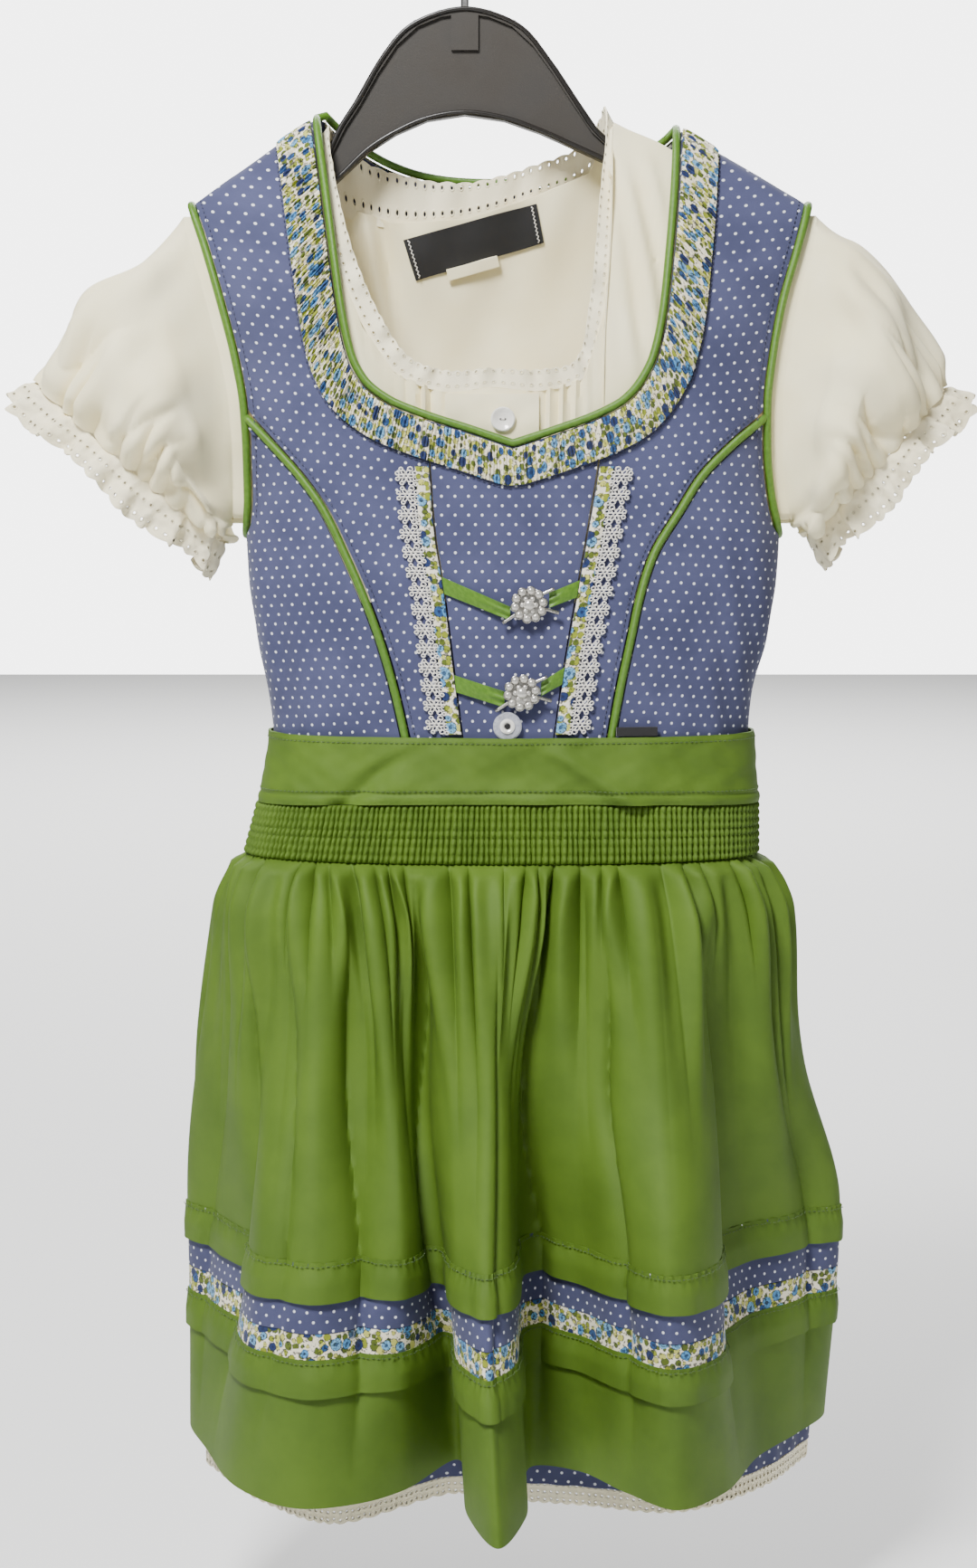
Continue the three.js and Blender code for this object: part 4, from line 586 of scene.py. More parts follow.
def quads(a, turned=False):
    """The four-sided faces of a grid of indices, or the same faces turned over."""
    corners = [a[:-1, :-1], a[:-1, 1:], a[1:, 1:], a[1:, :-1]]
    if turned:
        corners = corners[:1] + corners[:0:-1]
    return np.stack(corners, axis=-1).reshape(-1, 4)


def ring_faces(a, capped):
    """The faces of a row of rings, with a cap on each end if it has ends."""
    caps = [a[0, :-1].tolist(), a[-1, :-1][::-1].tolist()] if capped else []
    return quads(a, True).tolist() + caps


def wrapped(a):
    """A grid of indices whose last column is its first one."""
    return np.concatenate([a, a[:, :1]], axis=1)


def wall(name, outer, inner, material, flat=None, loop=False):
    """A wall of cloth between two grids of points, with its pattern's flat coordinates in its UV map."""
    rows, columns = outer.shape[:2]
    width = columns - 1 if loop else columns
    ids = np.arange(rows * width).reshape(rows, width)
    ids = wrapped(ids) if loop else ids
    uv_ids = np.arange(rows * columns).reshape(rows, columns)
    back = rows * width

    def edge(a, b):
        return np.stack([a[:-1], a[1:], b[1:], b[:-1]], axis=-1)

    def borders(a, b):
        found = [edge(a[0][::-1], b[0][::-1]), edge(a[-1], b[-1])]
        if not loop:
            found += [edge(a[:, 0], b[:, 0]), edge(a[::-1, -1], b[::-1, -1])]
        return np.vstack(found)

    faces = np.vstack([quads(ids), quads(ids + back)[:, ::-1], borders(ids, ids + back)])
    face_uv = np.vstack([quads(uv_ids), quads(uv_ids)[:, ::-1], borders(uv_ids, uv_ids)])
    if flat is None:
        flat = flat_lengths(outer)
    uv = np.stack(flat, axis=-1).reshape(-1, 2)
    p = np.vstack([side[:, :width].reshape(-1, 3) for side in (outer, inner)])
    return mesh_object(name, p, faces.tolist(), material, (uv, face_uv.tolist()), SHARP_CLOTH)


def flat_lengths(p):
    """Flat coordinates of a grid by its mean lengths across and up."""
    return np.meshgrid(added_up(gaps(p, 1).mean(axis=0)), added_up(gaps(p, 0).mean(axis=1)))


def cut_size(p):
    """Width, length and area of the cloth in a grid of points, in metres."""
    width = gaps(p, 1).sum(axis=1).max() / 1000
    length = gaps(p, 0).sum(axis=0).max() / 1000
    u, v = np.diff(p, axis=1)[:-1], np.diff(p, axis=0)[:, :-1]
    area = np.linalg.norm(np.cross(u, v), axis=-1).sum() / 1e6
    return width, length, float(np.clip(area, SLIMMEST_CUT * width * length, width * length))


def dressed(obj, slot, *nodes):
    """The finished piece rides on the body and stands for its solids, which it hides; its slot is not used.
    """
    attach(obj, "root")
    if nodes:
        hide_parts(*nodes)
    return obj


def declared(outer, held, on=()):
    """Measures the cut of a sheet of cloth and passes over trims too narrow to count as sheets; nothing is
    declared.
    """
    width, length, area = cut_size(outer)
    if min(width, length) >= NARROWEST_SHEET:
        list(on)


def cloth(
    node, surface, material, slot, size, *, lift=0.0, thick=CLOTH, detail=None, flat=None, loop=False,
    held="stretched", on=(),
):
    """A sheet of cloth over a surface: `detail` raises its outer and inner face alike."""
    u, v = grid(*size)
    base = surface(u, v)
    n = normals(base, loop)
    raised = lift + (detail(u, v, base) if detail else 0 * u)
    outer = base + n * raised[..., None]
    inner = base + n * (raised - thick)[..., None]
    obj = wall(f"{node}_cloth", outer, inner, material, flat(u, v, base) if flat else None, loop)
    dressed(obj, slot, node)
    declared(outer, held, on)
    return obj


def tube(name, path, radius, material, closed=False, sides=10, facing=(0, 1, 0)):
    """A cord along points in the garment's frame, with its length and turn as its UV map."""
    p = np.asarray(path, float)
    if closed:
        along = np.roll(p, -1, axis=0) - np.roll(p, 1, axis=0)
    else:
        along = np.gradient(p, axis=0)
    along = unit(along)
    side = unit(np.cross(along, np.asarray(facing, float)))
    up = np.cross(side, along)
    turn = round_turn(sides)
    rings = p[:, None] + radius * (
        np.cos(turn)[None, :, None] * side[:, None] + np.sin(turn)[None, :, None] * up[:, None]
    )
    count = len(p)
    ids = wrapped(np.arange(count * sides).reshape(count, sides))
    girth = np.arange(sides + 1) * 2 * np.pi * radius / sides
    uv = np.stack(np.meshgrid(girth, added_up(gaps(p))), axis=-1).reshape(-1, 2)
    uv_ids = np.arange(count * (sides + 1)).reshape(count, sides + 1)
    if closed:
        ids = np.vstack([ids, ids[:1]])
        uv_ids = np.vstack([uv_ids, uv_ids[-1:]])

    faces, face_uv = ring_faces(ids, not closed), ring_faces(uv_ids, not closed)
    return mesh_object(name, rings.reshape(-1, 3), faces, material, (uv, face_uv))


def joined(name, objects):
    """Several meshes as one object at the origin."""
    with bpy.context.temp_override(active_object=objects[0], selected_editable_objects=objects):
        bpy.ops.object.join()
    objects[0].name = name
    return objects[0]


# ---------- Shader language ----------
class Value:
    """A shader's socket, on which Python's operators add Math nodes."""

    def __init__(self, shader, socket):
        self.shader = shader
        self.socket = socket

    def __add__(self, other):
        return self.shader.math("ADD", self, other)

    __radd__ = __add__

    def __sub__(self, other):
        return self.shader.math("SUBTRACT", self, other)

    def __rsub__(self, other):
        return self.shader.math("SUBTRACT", other, self)

    def __mul__(self, other):
        return self.shader.math("MULTIPLY", self, other)

    __rmul__ = __mul__

    def __truediv__(self, other):
        return self.shader.math("DIVIDE", self, other)

    def out(self, key):
        """Another output of the same node."""
        return Value(self.shader, self.socket.node.outputs[key])

    def __abs__(self):
        return self.shader.math("ABSOLUTE", self)


class Shader:
    """A material under construction."""

    def __init__(self, name, **plain):
        self.material = bpy.data.materials.new(name)
        self.material.use_nodes = True
        self.tree = self.material.node_tree
        self.surface = self.tree.nodes["Principled BSDF"]
        self.set(**plain)

    def node(self, kind, settings=None, inputs=None, out=0):
        made = self.tree.nodes.new(kind)
        for key, value in (settings or {}).items():
            setattr(made, key, value)
        for key, value in (inputs or {}).items():
            self.feed(made.inputs[key], value)
        return Value(self, made.outputs[out])

    def feed(self, socket, value):
        if isinstance(value, Value):
            self.tree.links.new(value.socket, socket)
        elif value is not None:
            socket.default_value = value

    def set(self, **inputs):
        for key, value in inputs.items():
            self.feed(self.surface.inputs[key.replace("_", " ")], value)

    def math(self, operation, *values):
        return self.node("ShaderNodeMath", {"operation": operation}, dict(enumerate(values)))

    def step(self, value, low, high, start=0.0, end=1.0):
        return self.node(
            "ShaderNodeMapRange",
            {"interpolation_type": "SMOOTHSTEP"},
            {"Value": value, "From Min": low, "From Max": high, "To Min": start, "To Max": end},
        )

    def mix(self, share, a, b):
        return self.node("ShaderNodeMix", {"data_type": "RGBA"}, {0: share, 6: a, 7: b}, out=2)

    def place(self):
        return self.node("ShaderNodeTexCoord", out="Object")

    def flat(self):
        """The cloth's flat coordinates in millimetres, as a vector and as its two numbers."""
        vector = self.node("ShaderNodeVectorMath", {"operation": "SCALE"}, {
            "Vector": self.node("ShaderNodeUVMap", {"uv_map": "cloth"}),
            "Scale": 1000.0,
        })
        s = self.node("ShaderNodeSeparateXYZ", None, {0: vector})
        return vector, s, s.out(1)

    def noise(self, vector, scale, detail=3.0, roughness=0.55, out="Fac"):
        inputs = {"Vector": vector, "Scale": scale, "Detail": detail, "Roughness": roughness}
        return self.node("ShaderNodeTexNoise", None, inputs, out)

    def bump(self, height, distance, strength=1.0, normal=None):
        return self.node(
            "ShaderNodeBump",
            None,
            {"Height": height, "Distance": distance, "Strength": strength, "Normal": normal},
        )

    def weave(self, s, t, pitch):
        """The height of a plain weave: threads over and under each other."""
        across = self.math("SINE", s * (math.pi / pitch))
        up = self.math("SINE", t * (math.pi / pitch))
        return across * across * 0.5 + up * up * 0.5


def srgb(r, g, b):
    def linear(c):
        c /= 255
        return c / 12.92 if c <= 0.04045 else ((c + 0.055) / 1.055) ** 2.4

    return (linear(r), linear(g), linear(b), 1.0)


def cotton(name, colour, deep, *, pitch=0.34, roughness=0.85, sheen=0.1, grain=0.12):
    """Plain woven cloth with a slightly uneven colour; its shader, ground colour and flat coordinates."""
    plain = {"Sheen_Weight": sheen, "Sheen_Roughness": 0.5, "Specular_IOR_Level": 0.3}
    shader = Shader(name, Roughness=roughness, **plain)
    vector, s, t = shader.flat()
    clouds = shader.noise(vector, 0.03, 4.0)
    threads = shader.noise(vector, 1.9, 2.0)
    ground = shader.mix(shader.step(clouds, 0.3, 0.7), colour, deep)
    ground = shader.mix(shader.step(threads, 0.25, 0.75, 0.0, grain), ground, deep)
    height = shader.weave(s, t, pitch) * 0.6 + threads * 0.5
    shader.set(Normal=shader.bump(height, 0.00012, 0.55))
    shader.set(Base_Color=ground)
    return SimpleNamespace(shader=shader, ground=ground, vector=vector, s=s, t=t, material=shader.material)


# ---------- Finishes ----------
DOT = SimpleNamespace(across=5.9, up=8.2, radius=0.62, soft=0.14)


def dotted_cotton(name="dotted cotton", dot=(232, 234, 240)):
    made = cotton(name, srgb(76, 79, 112), srgb(62, 65, 95), grain=0.3, sheen=0.08)
    shader = made.shader

    def nearest(shift):
        a = (shader.math("FRACT", made.s / DOT.across + shift) - 0.5) * DOT.across
        b = (shader.math("FRACT", made.t / DOT.up + shift) - 0.5) * DOT.up
        return shader.math("SQRT", a * a + b * b)

    away = shader.math("MINIMUM", nearest(0.0), nearest(0.5))
    dots = shader.step(away, DOT.radius - DOT.soft, DOT.radius + DOT.soft, 1.0, 0.0)
    shader.set(Base_Color=shader.mix(dots * 0.92, made.ground, srgb(*dot)))
    return made.material


LEAVES = {
    "scale": 3.2, "seed": 31.0, "size": 1.85, "petals": 2.0, "share": 0.95,
    "colours": [srgb(136, 146, 40), srgb(190, 190, 96), srgb(84, 98, 28)],
}
BLOSSOMS = {
    "scale": 6.2, "seed": 7.0, "size": 2.8, "petals": 5.0, "share": 0.82,
    "colours": [srgb(84, 150, 200), srgb(30, 44, 90), srgb(116, 176, 214), srgb(40, 84, 136)],
}


def floral_cotton():
    """A small scattered flower print: blue and navy blossoms, olive leaves and dark outlines on cream."""
    made = cotton("floral cotton", srgb(242, 236, 215), srgb(230, 222, 196), pitch=0.36)
    shader = made.shader

    def scattered(scale, seed, colours, size, petals, share):
        offset = shader.node("ShaderNodeVectorMath", None, {0: made.vector, 1: (seed, seed * 1.7, 0)})
        inputs = {"Vector": offset, "Scale": 1 / scale, "Randomness": 0.8}
        cell = shader.node("ShaderNodeTexVoronoi", {"voronoi_dimensions": "2D"}, inputs, "Distance")
        distance = cell * scale
        centre = shader.node(
            "ShaderNodeVectorMath", {"operation": "SCALE"}, {0: cell.out("Position"), "Scale": scale}
        )
        away = shader.node("ShaderNodeVectorMath", {"operation": "SUBTRACT"}, {0: offset, 1: centre})
        x = shader.node("ShaderNodeSeparateXYZ", None, {0: away})
        angle = shader.math("ARCTAN2", x.out(1), x)
        pick = shader.node("ShaderNodeSeparateColor", None, {0: cell.out("Color")})
        turn, grow = pick.out(1), pick.out(2)
        lobes = shader.math("SINE", angle * petals + turn * 12.0)
        reach = (lobes * 0.22 + 0.78) * (grow * 0.35 + 0.75) * size
        inside = shader.step(distance - reach, -0.18, 0.18, 1.0, 0.0)
        rim = shader.step(abs(distance - reach), 0.12, 0.42, 1.0, 0.0)
        heart = shader.step(distance / reach, 0.25, 0.42, 1.0, 0.0)
        shown = shader.step(pick, share - 0.01, share + 0.01, 1.0, 0.0)
        picked = shader.node("ShaderNodeValToRGB", None, {0: pick})
        ramp = picked.socket.node.color_ramp
        ramp.interpolation = "CONSTANT"
        for _ in range(len(colours) - 2):
            ramp.elements.new(0.5)
        for i, colour in enumerate(colours):
            ramp.elements[i].position = i * share / len(colours)
            ramp.elements[i].color = colour
        return inside * shown, rim * shown, heart * shown, picked

    colour = made.ground
    leaves, leaf_rims, _, leaf_colour = scattered(**LEAVES)
    colour = shader.mix(leaves, colour, leaf_colour)
    broken = shader.step(shader.noise(made.vector, 0.9, 1.0), 0.45, 0.55)
    colour = shader.mix(leaf_rims * broken * 0.85, colour, srgb(38, 42, 40))
    blossoms, blossom_rims, hearts, blossom_colour = scattered(**BLOSSOMS)
    colour = shader.mix(blossoms, colour, blossom_colour)
    folds = shader.step(shader.noise(made.vector, 1.1, 2.0), 0.42, 0.6)
    colour = shader.mix(blossoms * folds * 0.6, colour, srgb(30, 50, 96))
    colour = shader.mix(hearts * 0.8, colour, srgb(20, 30, 66))
    colour = shader.mix(blossom_rims * broken * 0.85, colour, srgb(22, 28, 50))
    marks = shader.step(shader.noise(made.vector, 0.55, 3.0), 0.56, 0.6)
    colour = shader.mix(marks * 0.8, colour, srgb(34, 40, 36))
    shader.set(Base_Color=colour)
    return made.material


def lace_cloth(name, pitch, holes, edge):
    """Cotton lace: rows of eyelets cut through it, and bars of thread between them."""
    made = cotton(name, srgb(250, 242, 212), srgb(240, 230, 196), pitch=0.3, roughness=0.9)
    shader = made.shader
    a = (shader.math("FRACT", made.s / pitch) - 0.5) * pitch
    b = (shader.math("FRACT", made.t / edge) - 0.5) * edge
    away = shader.math("SQRT", a * a + b * b)
    open_hole = shader.step(away, holes - 0.12, holes + 0.12, 1.0, 0.0)
    shader.set(Alpha=1 - open_hole)
    collar = shader.step(abs(away - holes - 0.3), 0.0, 0.4, 1.0, 0.0)
    threads = shader.noise(made.vector, 2.4, 3.0)
    shader.set(Normal=shader.bump(collar + threads * 0.5, 0.0003, 0.8))
    return made.material


def satin(name, colour, deep, roughness=0.42):
    plain = {"Sheen_Weight": 0.06, "Sheen_Roughness": 0.35, "Specular_IOR_Level": 0.45}
    shader = Shader(name, Roughness=roughness, **plain)
    vector, s, t = shader.flat()
    slubs = shader.noise(vector, 0.5, 4.0)
    ribs = shader.math("SINE", (s * 0.7 + t) * (2 * math.pi / 0.3))
    shader.set(Base_Color=shader.mix(shader.step(slubs, 0.3, 0.7), colour, deep))
    shader.set(Normal=shader.bump(ribs * 0.3 + slubs, 0.0001, 0.5))
    return shader.material


def voile():
    made = cotton("voile", srgb(254, 244, 205), srgb(249, 237, 193), pitch=0.28, roughness=0.9)
    made.shader.set(Subsurface_Weight=0.15, Subsurface_Scale=0.004, Subsurface_Radius=(1.0, 0.95, 0.85))
    return made.material


def thread(name, colour):
    shader = Shader(name, Roughness=0.7, Sheen_Weight=0.2)
    twist = shader.noise(shader.place(), 2500.0, 2.0)
    shader.set(Base_Color=shader.mix(shader.step(twist, 0.3, 0.7, 0.0, 0.35), colour, (0.02, 0.02, 0.02, 1)))
    return shader.material


def moulded_plastic(name, light, dark, gloss):
    shader = Shader(name, Specular_IOR_Level=0.45)
    place = shader.place()
    grain = shader.noise(place, 1400.0, 3.0)
    wear = shader.noise(place, 30.0, 4.0)
    shader.set(Base_Color=shader.mix(shader.step(wear, 0.35, 0.7), light, dark))
    shader.set(Roughness=shader.step(wear, 0.3, 0.7, gloss, gloss + 0.13))
    shader.set(Normal=shader.bump(grain, 0.00008, 0.5))
    return shader.material


def pearly(name, colour, **plain):
    shader = Shader(name, Roughness=0.18, Coat_Roughness=0.08, **plain)
    bands = shader.noise(shader.place(), 260.0, 3.0)
    shader.set(Base_Color=shader.mix(shader.step(bands, 0.3, 0.7, 0.0, 0.4), colour, srgb(210, 205, 196)))
    shader.set(Coat_Weight=0.6)
    return shader.material


def metal(name, colour, roughness):
    shader = Shader(name, Metallic=1.0)
    place = shader.place()
    rub = shader.noise(place, 500.0, 4.0)
    shader.set(Base_Color=shader.mix(shader.step(rub, 0.35, 0.7, 0.0, 0.5), colour, srgb(120, 112, 98)))
    shader.set(Roughness=shader.step(rub, 0.3, 0.7, roughness, roughness + 0.15))
    return shader.material


def clear_plastic():
    shader = Shader("clear plastic", Specular_IOR_Level=0.7, Coat_Weight=0.5, Coat_Roughness=0.05)
    smear = shader.noise(shader.place(), 700.0, 3.0)
    shader.set(Base_Color=shader.mix(smear, srgb(196, 200, 214), srgb(226, 228, 234)))
    shader.set(Roughness=shader.step(smear, 0.3, 0.7, 0.08, 0.2))
    shader.set(Alpha=shader.step(smear, 0.3, 0.7, 0.42, 0.55))
    return shader.material


def woven_label():
    made = cotton("woven label", srgb(26, 25, 26), srgb(16, 16, 17), pitch=0.25, roughness=0.5, sheen=0.3)
    made.shader.set(Normal=made.shader.bump(made.shader.weave(made.s, made.t, 0.22), 0.0001, 0.5))
    return made.material


FINISH = SimpleNamespace(
    dotted=dotted_cotton(),
    floral=floral_cotton(),
    apron=cotton("apron cotton", srgb(84, 112, 31), srgb(74, 101, 26), roughness=0.68, sheen=0.0).material,
    piping=satin("piping satin", srgb(84, 124, 34), srgb(72, 110, 26)),
    ribbon=satin("ribbon satin", srgb(88, 128, 36), srgb(72, 112, 26), 0.36),
    voile=voile(),
    frill=lace_cloth("eyelet lace", 4.2, 0.55, 6.5),
    hem_lace=lace_cloth("hem lace", 3.0, 0.6, 3.4),
    guipure=thread("guipure thread", srgb(240, 236, 228)),
    # The blue and green stitches are real thread. Their colour, darker than the cloth, is painted shade of
    # the puckers beside them.
    blue_thread_with_pucker_shade=thread("blue thread with painted pucker shade", srgb(48, 50, 84)),
    green_thread_with_pucker_shade=thread("green thread with painted pucker shade", srgb(66, 96, 24)),
    white_thread=thread("white thread", srgb(236, 232, 224)),
    label=woven_label(),
    hanger=moulded_plastic("moulded plastic", srgb(52, 48, 43), srgb(44, 41, 37), 0.42),
    # Painted shade: the rim's plastic is the body's plastic made darker to stand for shade on the raised
    # edges; its lower roughness is the polish.
    hanger_rim_painted_shade=moulded_plastic("polished rim with painted shade", srgb(34, 31, 28), srgb(28, 26, 24), 0.25),
    wire=metal("hook wire", srgb(200, 200, 200), 0.22),
    button=pearly("button", srgb(238, 236, 228)),
    clear=clear_plastic(),
    silver=metal("clasp metal", srgb(196, 194, 188), 0.2),
    bead=pearly("clasp bead", srgb(208, 205, 198), Metallic=0.55),
)


# ---------- Camera, light and ground ----------
STUDIO = SimpleNamespace(ambient=0.25, backdrop=5.0)
CAMERA = SimpleNamespace(place=(0.013, -1.230, -0.258), tilt=83.4, sensor=36, lens=62.32, nearest=0.05)
LIGHTS = table(
    "name place target size power",
    ("key", (-0.4, -0.85, 0.7), (0.02, 0, -0.25), 0.35, 40),
    ("fill", (1.2, -1.3, 0.2), (0.02, 0, -0.4), 1.2, 1),
    ("rim", (0.4, 1.2, 0.6), (0.02, 0, -0.4), 1.0, 10),
    ("sweep", (0, 3.2, 1.8), (0, 3.0, -0.8), 3.0, 260),
)
FLOOR = SimpleNamespace(reach=6, level=-0.80, colour=(0.86, 0.86, 0.85, 1), roughness=0.9)


def set_camera():
    camera = bpy.data.cameras.new("camera")
    camera.sensor_width = CAMERA.sensor
    camera.lens = CAMERA.lens
    camera.clip_start = CAMERA.nearest
    eye = linked("camera", camera)
    eye.location = CAMERA.place
    eye.rotation_euler = (math.radians(CAMERA.tilt), 0, 0)
    bpy.context.scene.camera = eye


def set_world():
    """A white studio that the camera sees brighter than the cloth does."""
    world = bpy.data.worlds.new("studio")
    world.use_nodes = True
    tree = world.node_tree
    sky = tree.nodes["Background"]
    sky.inputs["Color"].default_value = (1, 1, 1, 1)
    path = tree.nodes.new("ShaderNodeLightPath")
    seen = tree.nodes.new("ShaderNodeMapRange")
    seen.inputs["To Min"].default_value = STUDIO.ambient
    seen.inputs["To Max"].default_value = STUDIO.backdrop
    tree.links.new(path.outputs["Is Camera Ray"], seen.inputs["Value"])
    tree.links.new(seen.outputs[0], sky.inputs["Strength"])
    bpy.context.scene.world = world


def set_lights():
    for row in LIGHTS:
        light = bpy.data.lights.new(row["name"], "AREA")
        light.size = row["size"]
        light.energy = row["power"]
        softbox = linked(row["name"], light)
        softbox.location = row["place"]
        direction = Vector(row["target"]) - Vector(row["place"])
        softbox.rotation_euler = direction.to_track_quat("-Z", "Y").to_euler()


def set_floor():
    ways = ((-1, -1), (1, -1), (1, 1), (-1, 1))
    corners = [(x * FLOOR.reach, y * FLOOR.reach, FLOOR.level) for x, y in ways]
    mesh = bpy.data.meshes.new("floor")
    mesh.from_pydata(corners, [], [(0, 1, 2, 3)])
    ground = linked("floor", mesh)
    paint = Shader("pale floor", Roughness=FLOOR.roughness, Base_Color=FLOOR.colour)
    mesh.materials.append(paint.material)
    ground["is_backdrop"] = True


# ---------- Seams shared by the pieces ----------
seams = {
    name: SimpleNamespace(
        side=side,
        neck=seam_line(NECKLINE, side),
        armhole=seam_line(ARMHOLE, side),
        princess=seam_line(PRINCESS, side),
        trim=seam_line(TRIM_SEAM, side),
    )
    for name, side in SIDES.items()
}
whole_neck = np.vstack([seams["left"].neck[1:][::-1], seams["right"].neck])
whole_neck = by_length(whole_neck)(np.linspace(0, 1, 301))


def back_neck(x):
    return BACK_NECK.low + BACK_NECK.rise * np.abs(x / BACK_NECK.reach) ** 3


# ---------- Bodice ----------
CUT = SimpleNamespace(
    centre=139, trim=136, neck=141, princess=140, armhole=143,
    flank=135, flank_top=138, flank_foot=92, back=93,
)
CORNER = SimpleNamespace(inner=0.48, outer=0.64, flank=0.6, back=0.4)
EASE = SimpleNamespace(neck=0.3, front=0.35, armhole=0.3, flank=0.2, back=1, back_neck=1.6)
GRAIN = SimpleNamespace(front=7, flank=4)
NECK_MIDDLE = 1.6
PULLS = SimpleNamespace(height=0.6, along_x=0.42, along_z=0.06, turn=0.5, uneven=0.35, bump=55)


def drag(u, v, p):
    """Soft folds of the bodice's cotton: pulls at the sides of the waist and a slightly uneven surface."""
    x, z = p[..., 0], p[..., 2]
    near_side = smooth(np.abs(x), 70, 108)
    low = 1 - smooth(z, 40, 120)
    pulls = np.sin(x * PULLS.along_x + z * PULLS.along_z + PULLS.turn) * PULLS.height * near_side * low
    return pulls + PULLS.uneven * crumple(p, PULLS.bump, 3)


def grain(tilt):
    return lambda u, v, p: round_chest(p, math.radians(tilt))


def add_bodice_panel(node, surface, size, tilt=0.0):
    cloth(node, surface, FINISH.dotted, "dotted", size, detail=drag, flat=grain(tilt))


def make_bodice_centre():
    sides = [by_length(below(moved(s.trim, -s.side * SEAM), CUT.centre)) for s in seams.values()]
    ends = [line(np.float64(1))[0] for line in sides]

    def neck_low(x):
        left = curve([{"x": -row["left"], "z": row["z"]} for row in NECKLINE], "x", "z")
        right = curve([{"x": row["right"], "z": row["z"]} for row in NECKLINE], "x", "z")
        low = np.where(x < 0, left(np.minimum(x, -NECK_MIDDLE)), right(np.maximum(x, NECK_MIDDLE)))
        return low - PIPED

    def top(u):
        x = lerp(ends[0], ends[1], np.asarray(u, float))
        return np.stack([x, neck_low(x)], axis=-1)

    def side(index):
        high = top(np.float64(index))[1]
        return lambda v: np.stack([sides[index](v)[..., 0], lerp(WAIST_SEAM, high, v)], axis=-1)

    add_bodice_panel("bodice_centre", panel(DRESS, 1, side(0), side(1), rung(*sides, 0), top), (60, 90))


def make_bodice_front(name, s):
    low = below(moved(s.trim, s.side * SEAM), CUT.trim)
    inner = bent(low, above(moved(s.neck, s.side * (PIPED + EASE.neck)), CUT.neck), CORNER.inner)
    low = below(moved(s.princess, -s.side * (PIPED + EASE.front)), CUT.princess)
    outer = bent(low, above(moved(s.armhole, -s.side * PIPED), CUT.armhole), CORNER.outer)
    borders = (inner, outer)[:: s.side]
    add_bodice_panel(f"bodice_front_{name}", panel(DRESS, 1, *borders), (48, 160), -s.side * GRAIN.front)


def bodice_side_edge(side):
    return side_edge(side, WAIST_SEAM, ARMHOLE[0]["z"] - PIPED - SEAM, DRESS)


def make_bodice_side(name, s):
    high = above(below(moved(s.armhole, -s.side * (PIPED + EASE.armhole)), CUT.flank_top), CUT.flank_foot)
    outer = bent(bodice_side_edge(s.side), high, CORNER.flank)
    inner = by_length(below(moved(s.princess, s.side * (PIPED + EASE.flank)), CUT.flank))
    borders = (inner, outer)[:: s.side]
    add_bodice_panel(f"bodice_side_{name}", panel(DRESS, 1, *borders), (44, 100), s.side * GRAIN.flank)


def make_bodice_back():
    def border(s):
        high = above(moved(s.armhole, -s.side * (PIPED + EASE.back)), CUT.back)
        return bent(bodice_side_edge(s.side), high, CORNER.back)

    left, right = border(seams["right"]), border(seams["left"])
    ends = [seams[name].neck[-1, 0] + seams[name].side * PIPED for name in ("right", "left")]
    x = lerp(ends[0], ends[1], 0.5 - 0.5 * np.cos(np.pi * np.linspace(0, 1, 33)))
    neck = np.stack([x, np.minimum(back_neck(x) - PIPED - EASE.back_neck, DRESS.shoulder(x))], axis=1)
    shares = np.linspace(0, 1, 12, endpoint=False)
    before = straight_to(left(np.float64(1)), neck[0])(shares)
    after = straight_to(neck[-1], right(np.float64(1)))(np.append(shares[1:], 1.0))
    top = by_index(np.vstack([before, neck, after]))
    add_bodice_panel("bodice_back", panel(DRESS, -1, left, right, top=top, fade=3), (150, 120))


def make_piping():
    def sunk(line, face):
        p = at_torso(line[:, 0], line[:, 1], face, DRESS)
        p[:, 1] += face * CLOTH * 0.5
        return p

    x = np.linspace(whole_neck[-1, 0], whole_neck[0, 0], 120)[3:-3]
    back = np.stack([x, back_neck(x)], axis=1)
    ring = np.vstack([sunk(whole_neck, 1), sunk(back, -1)])
    middle = np.array([0, 0, 215])
    cord = tube("neck_piping_cord", ring, PIPING, FINISH.piping, True, 12, ring - middle)
    dressed(cord, "piping", "neck_piping")
    for name, s in seams.items():
        turn = round_turn(140)
        p = by_length(s.armhole)((1 + np.cos(turn)) / 2)
        front = at_torso(p[:, 0], p[:, 1], 1, DRESS)
        back = at_torso(p[:, 0], p[:, 1], -1, DRESS)
        ring = np.where((np.sin(turn) >= 0)[:, None], front, back)
        middle = np.array([s.side * 122, 0, 165])
        cord = tube(f"armhole_piping_{name}_cord", ring, PIPING, FINISH.piping, True, 12, ring - middle)
        dressed(cord, "piping", f"armhole_piping_{name}")
        seam = by_length(above(s.princess, PIPING_FOOT))(np.linspace(0, 1, 90))
        cord = tube(f"princess_piping_{name}_cord", sunk(seam, 1), PIPING, FINISH.piping, sides=12)
        dressed(cord, "piping", f"princess_piping_{name}")


# ---------- Floral ruffle and trims ----------
RUFFLE = SimpleNamespace(under=0.6, lift=0.7, wave=2.1, gathered=1.5, sewn=0.16, narrow=0.55, thick=0.9)


def strip_beside(path, near, far):
    def on_cloth(line):
        return line[line[:, 1] < DRESS.shoulder(line[:, 0]) - 0.2]

    a, b = by_length(on_cloth(moved(path, near))), by_length(on_cloth(moved(path, far)))
    return lambda u, v: lerp(a(u), b(u), v[..., None])


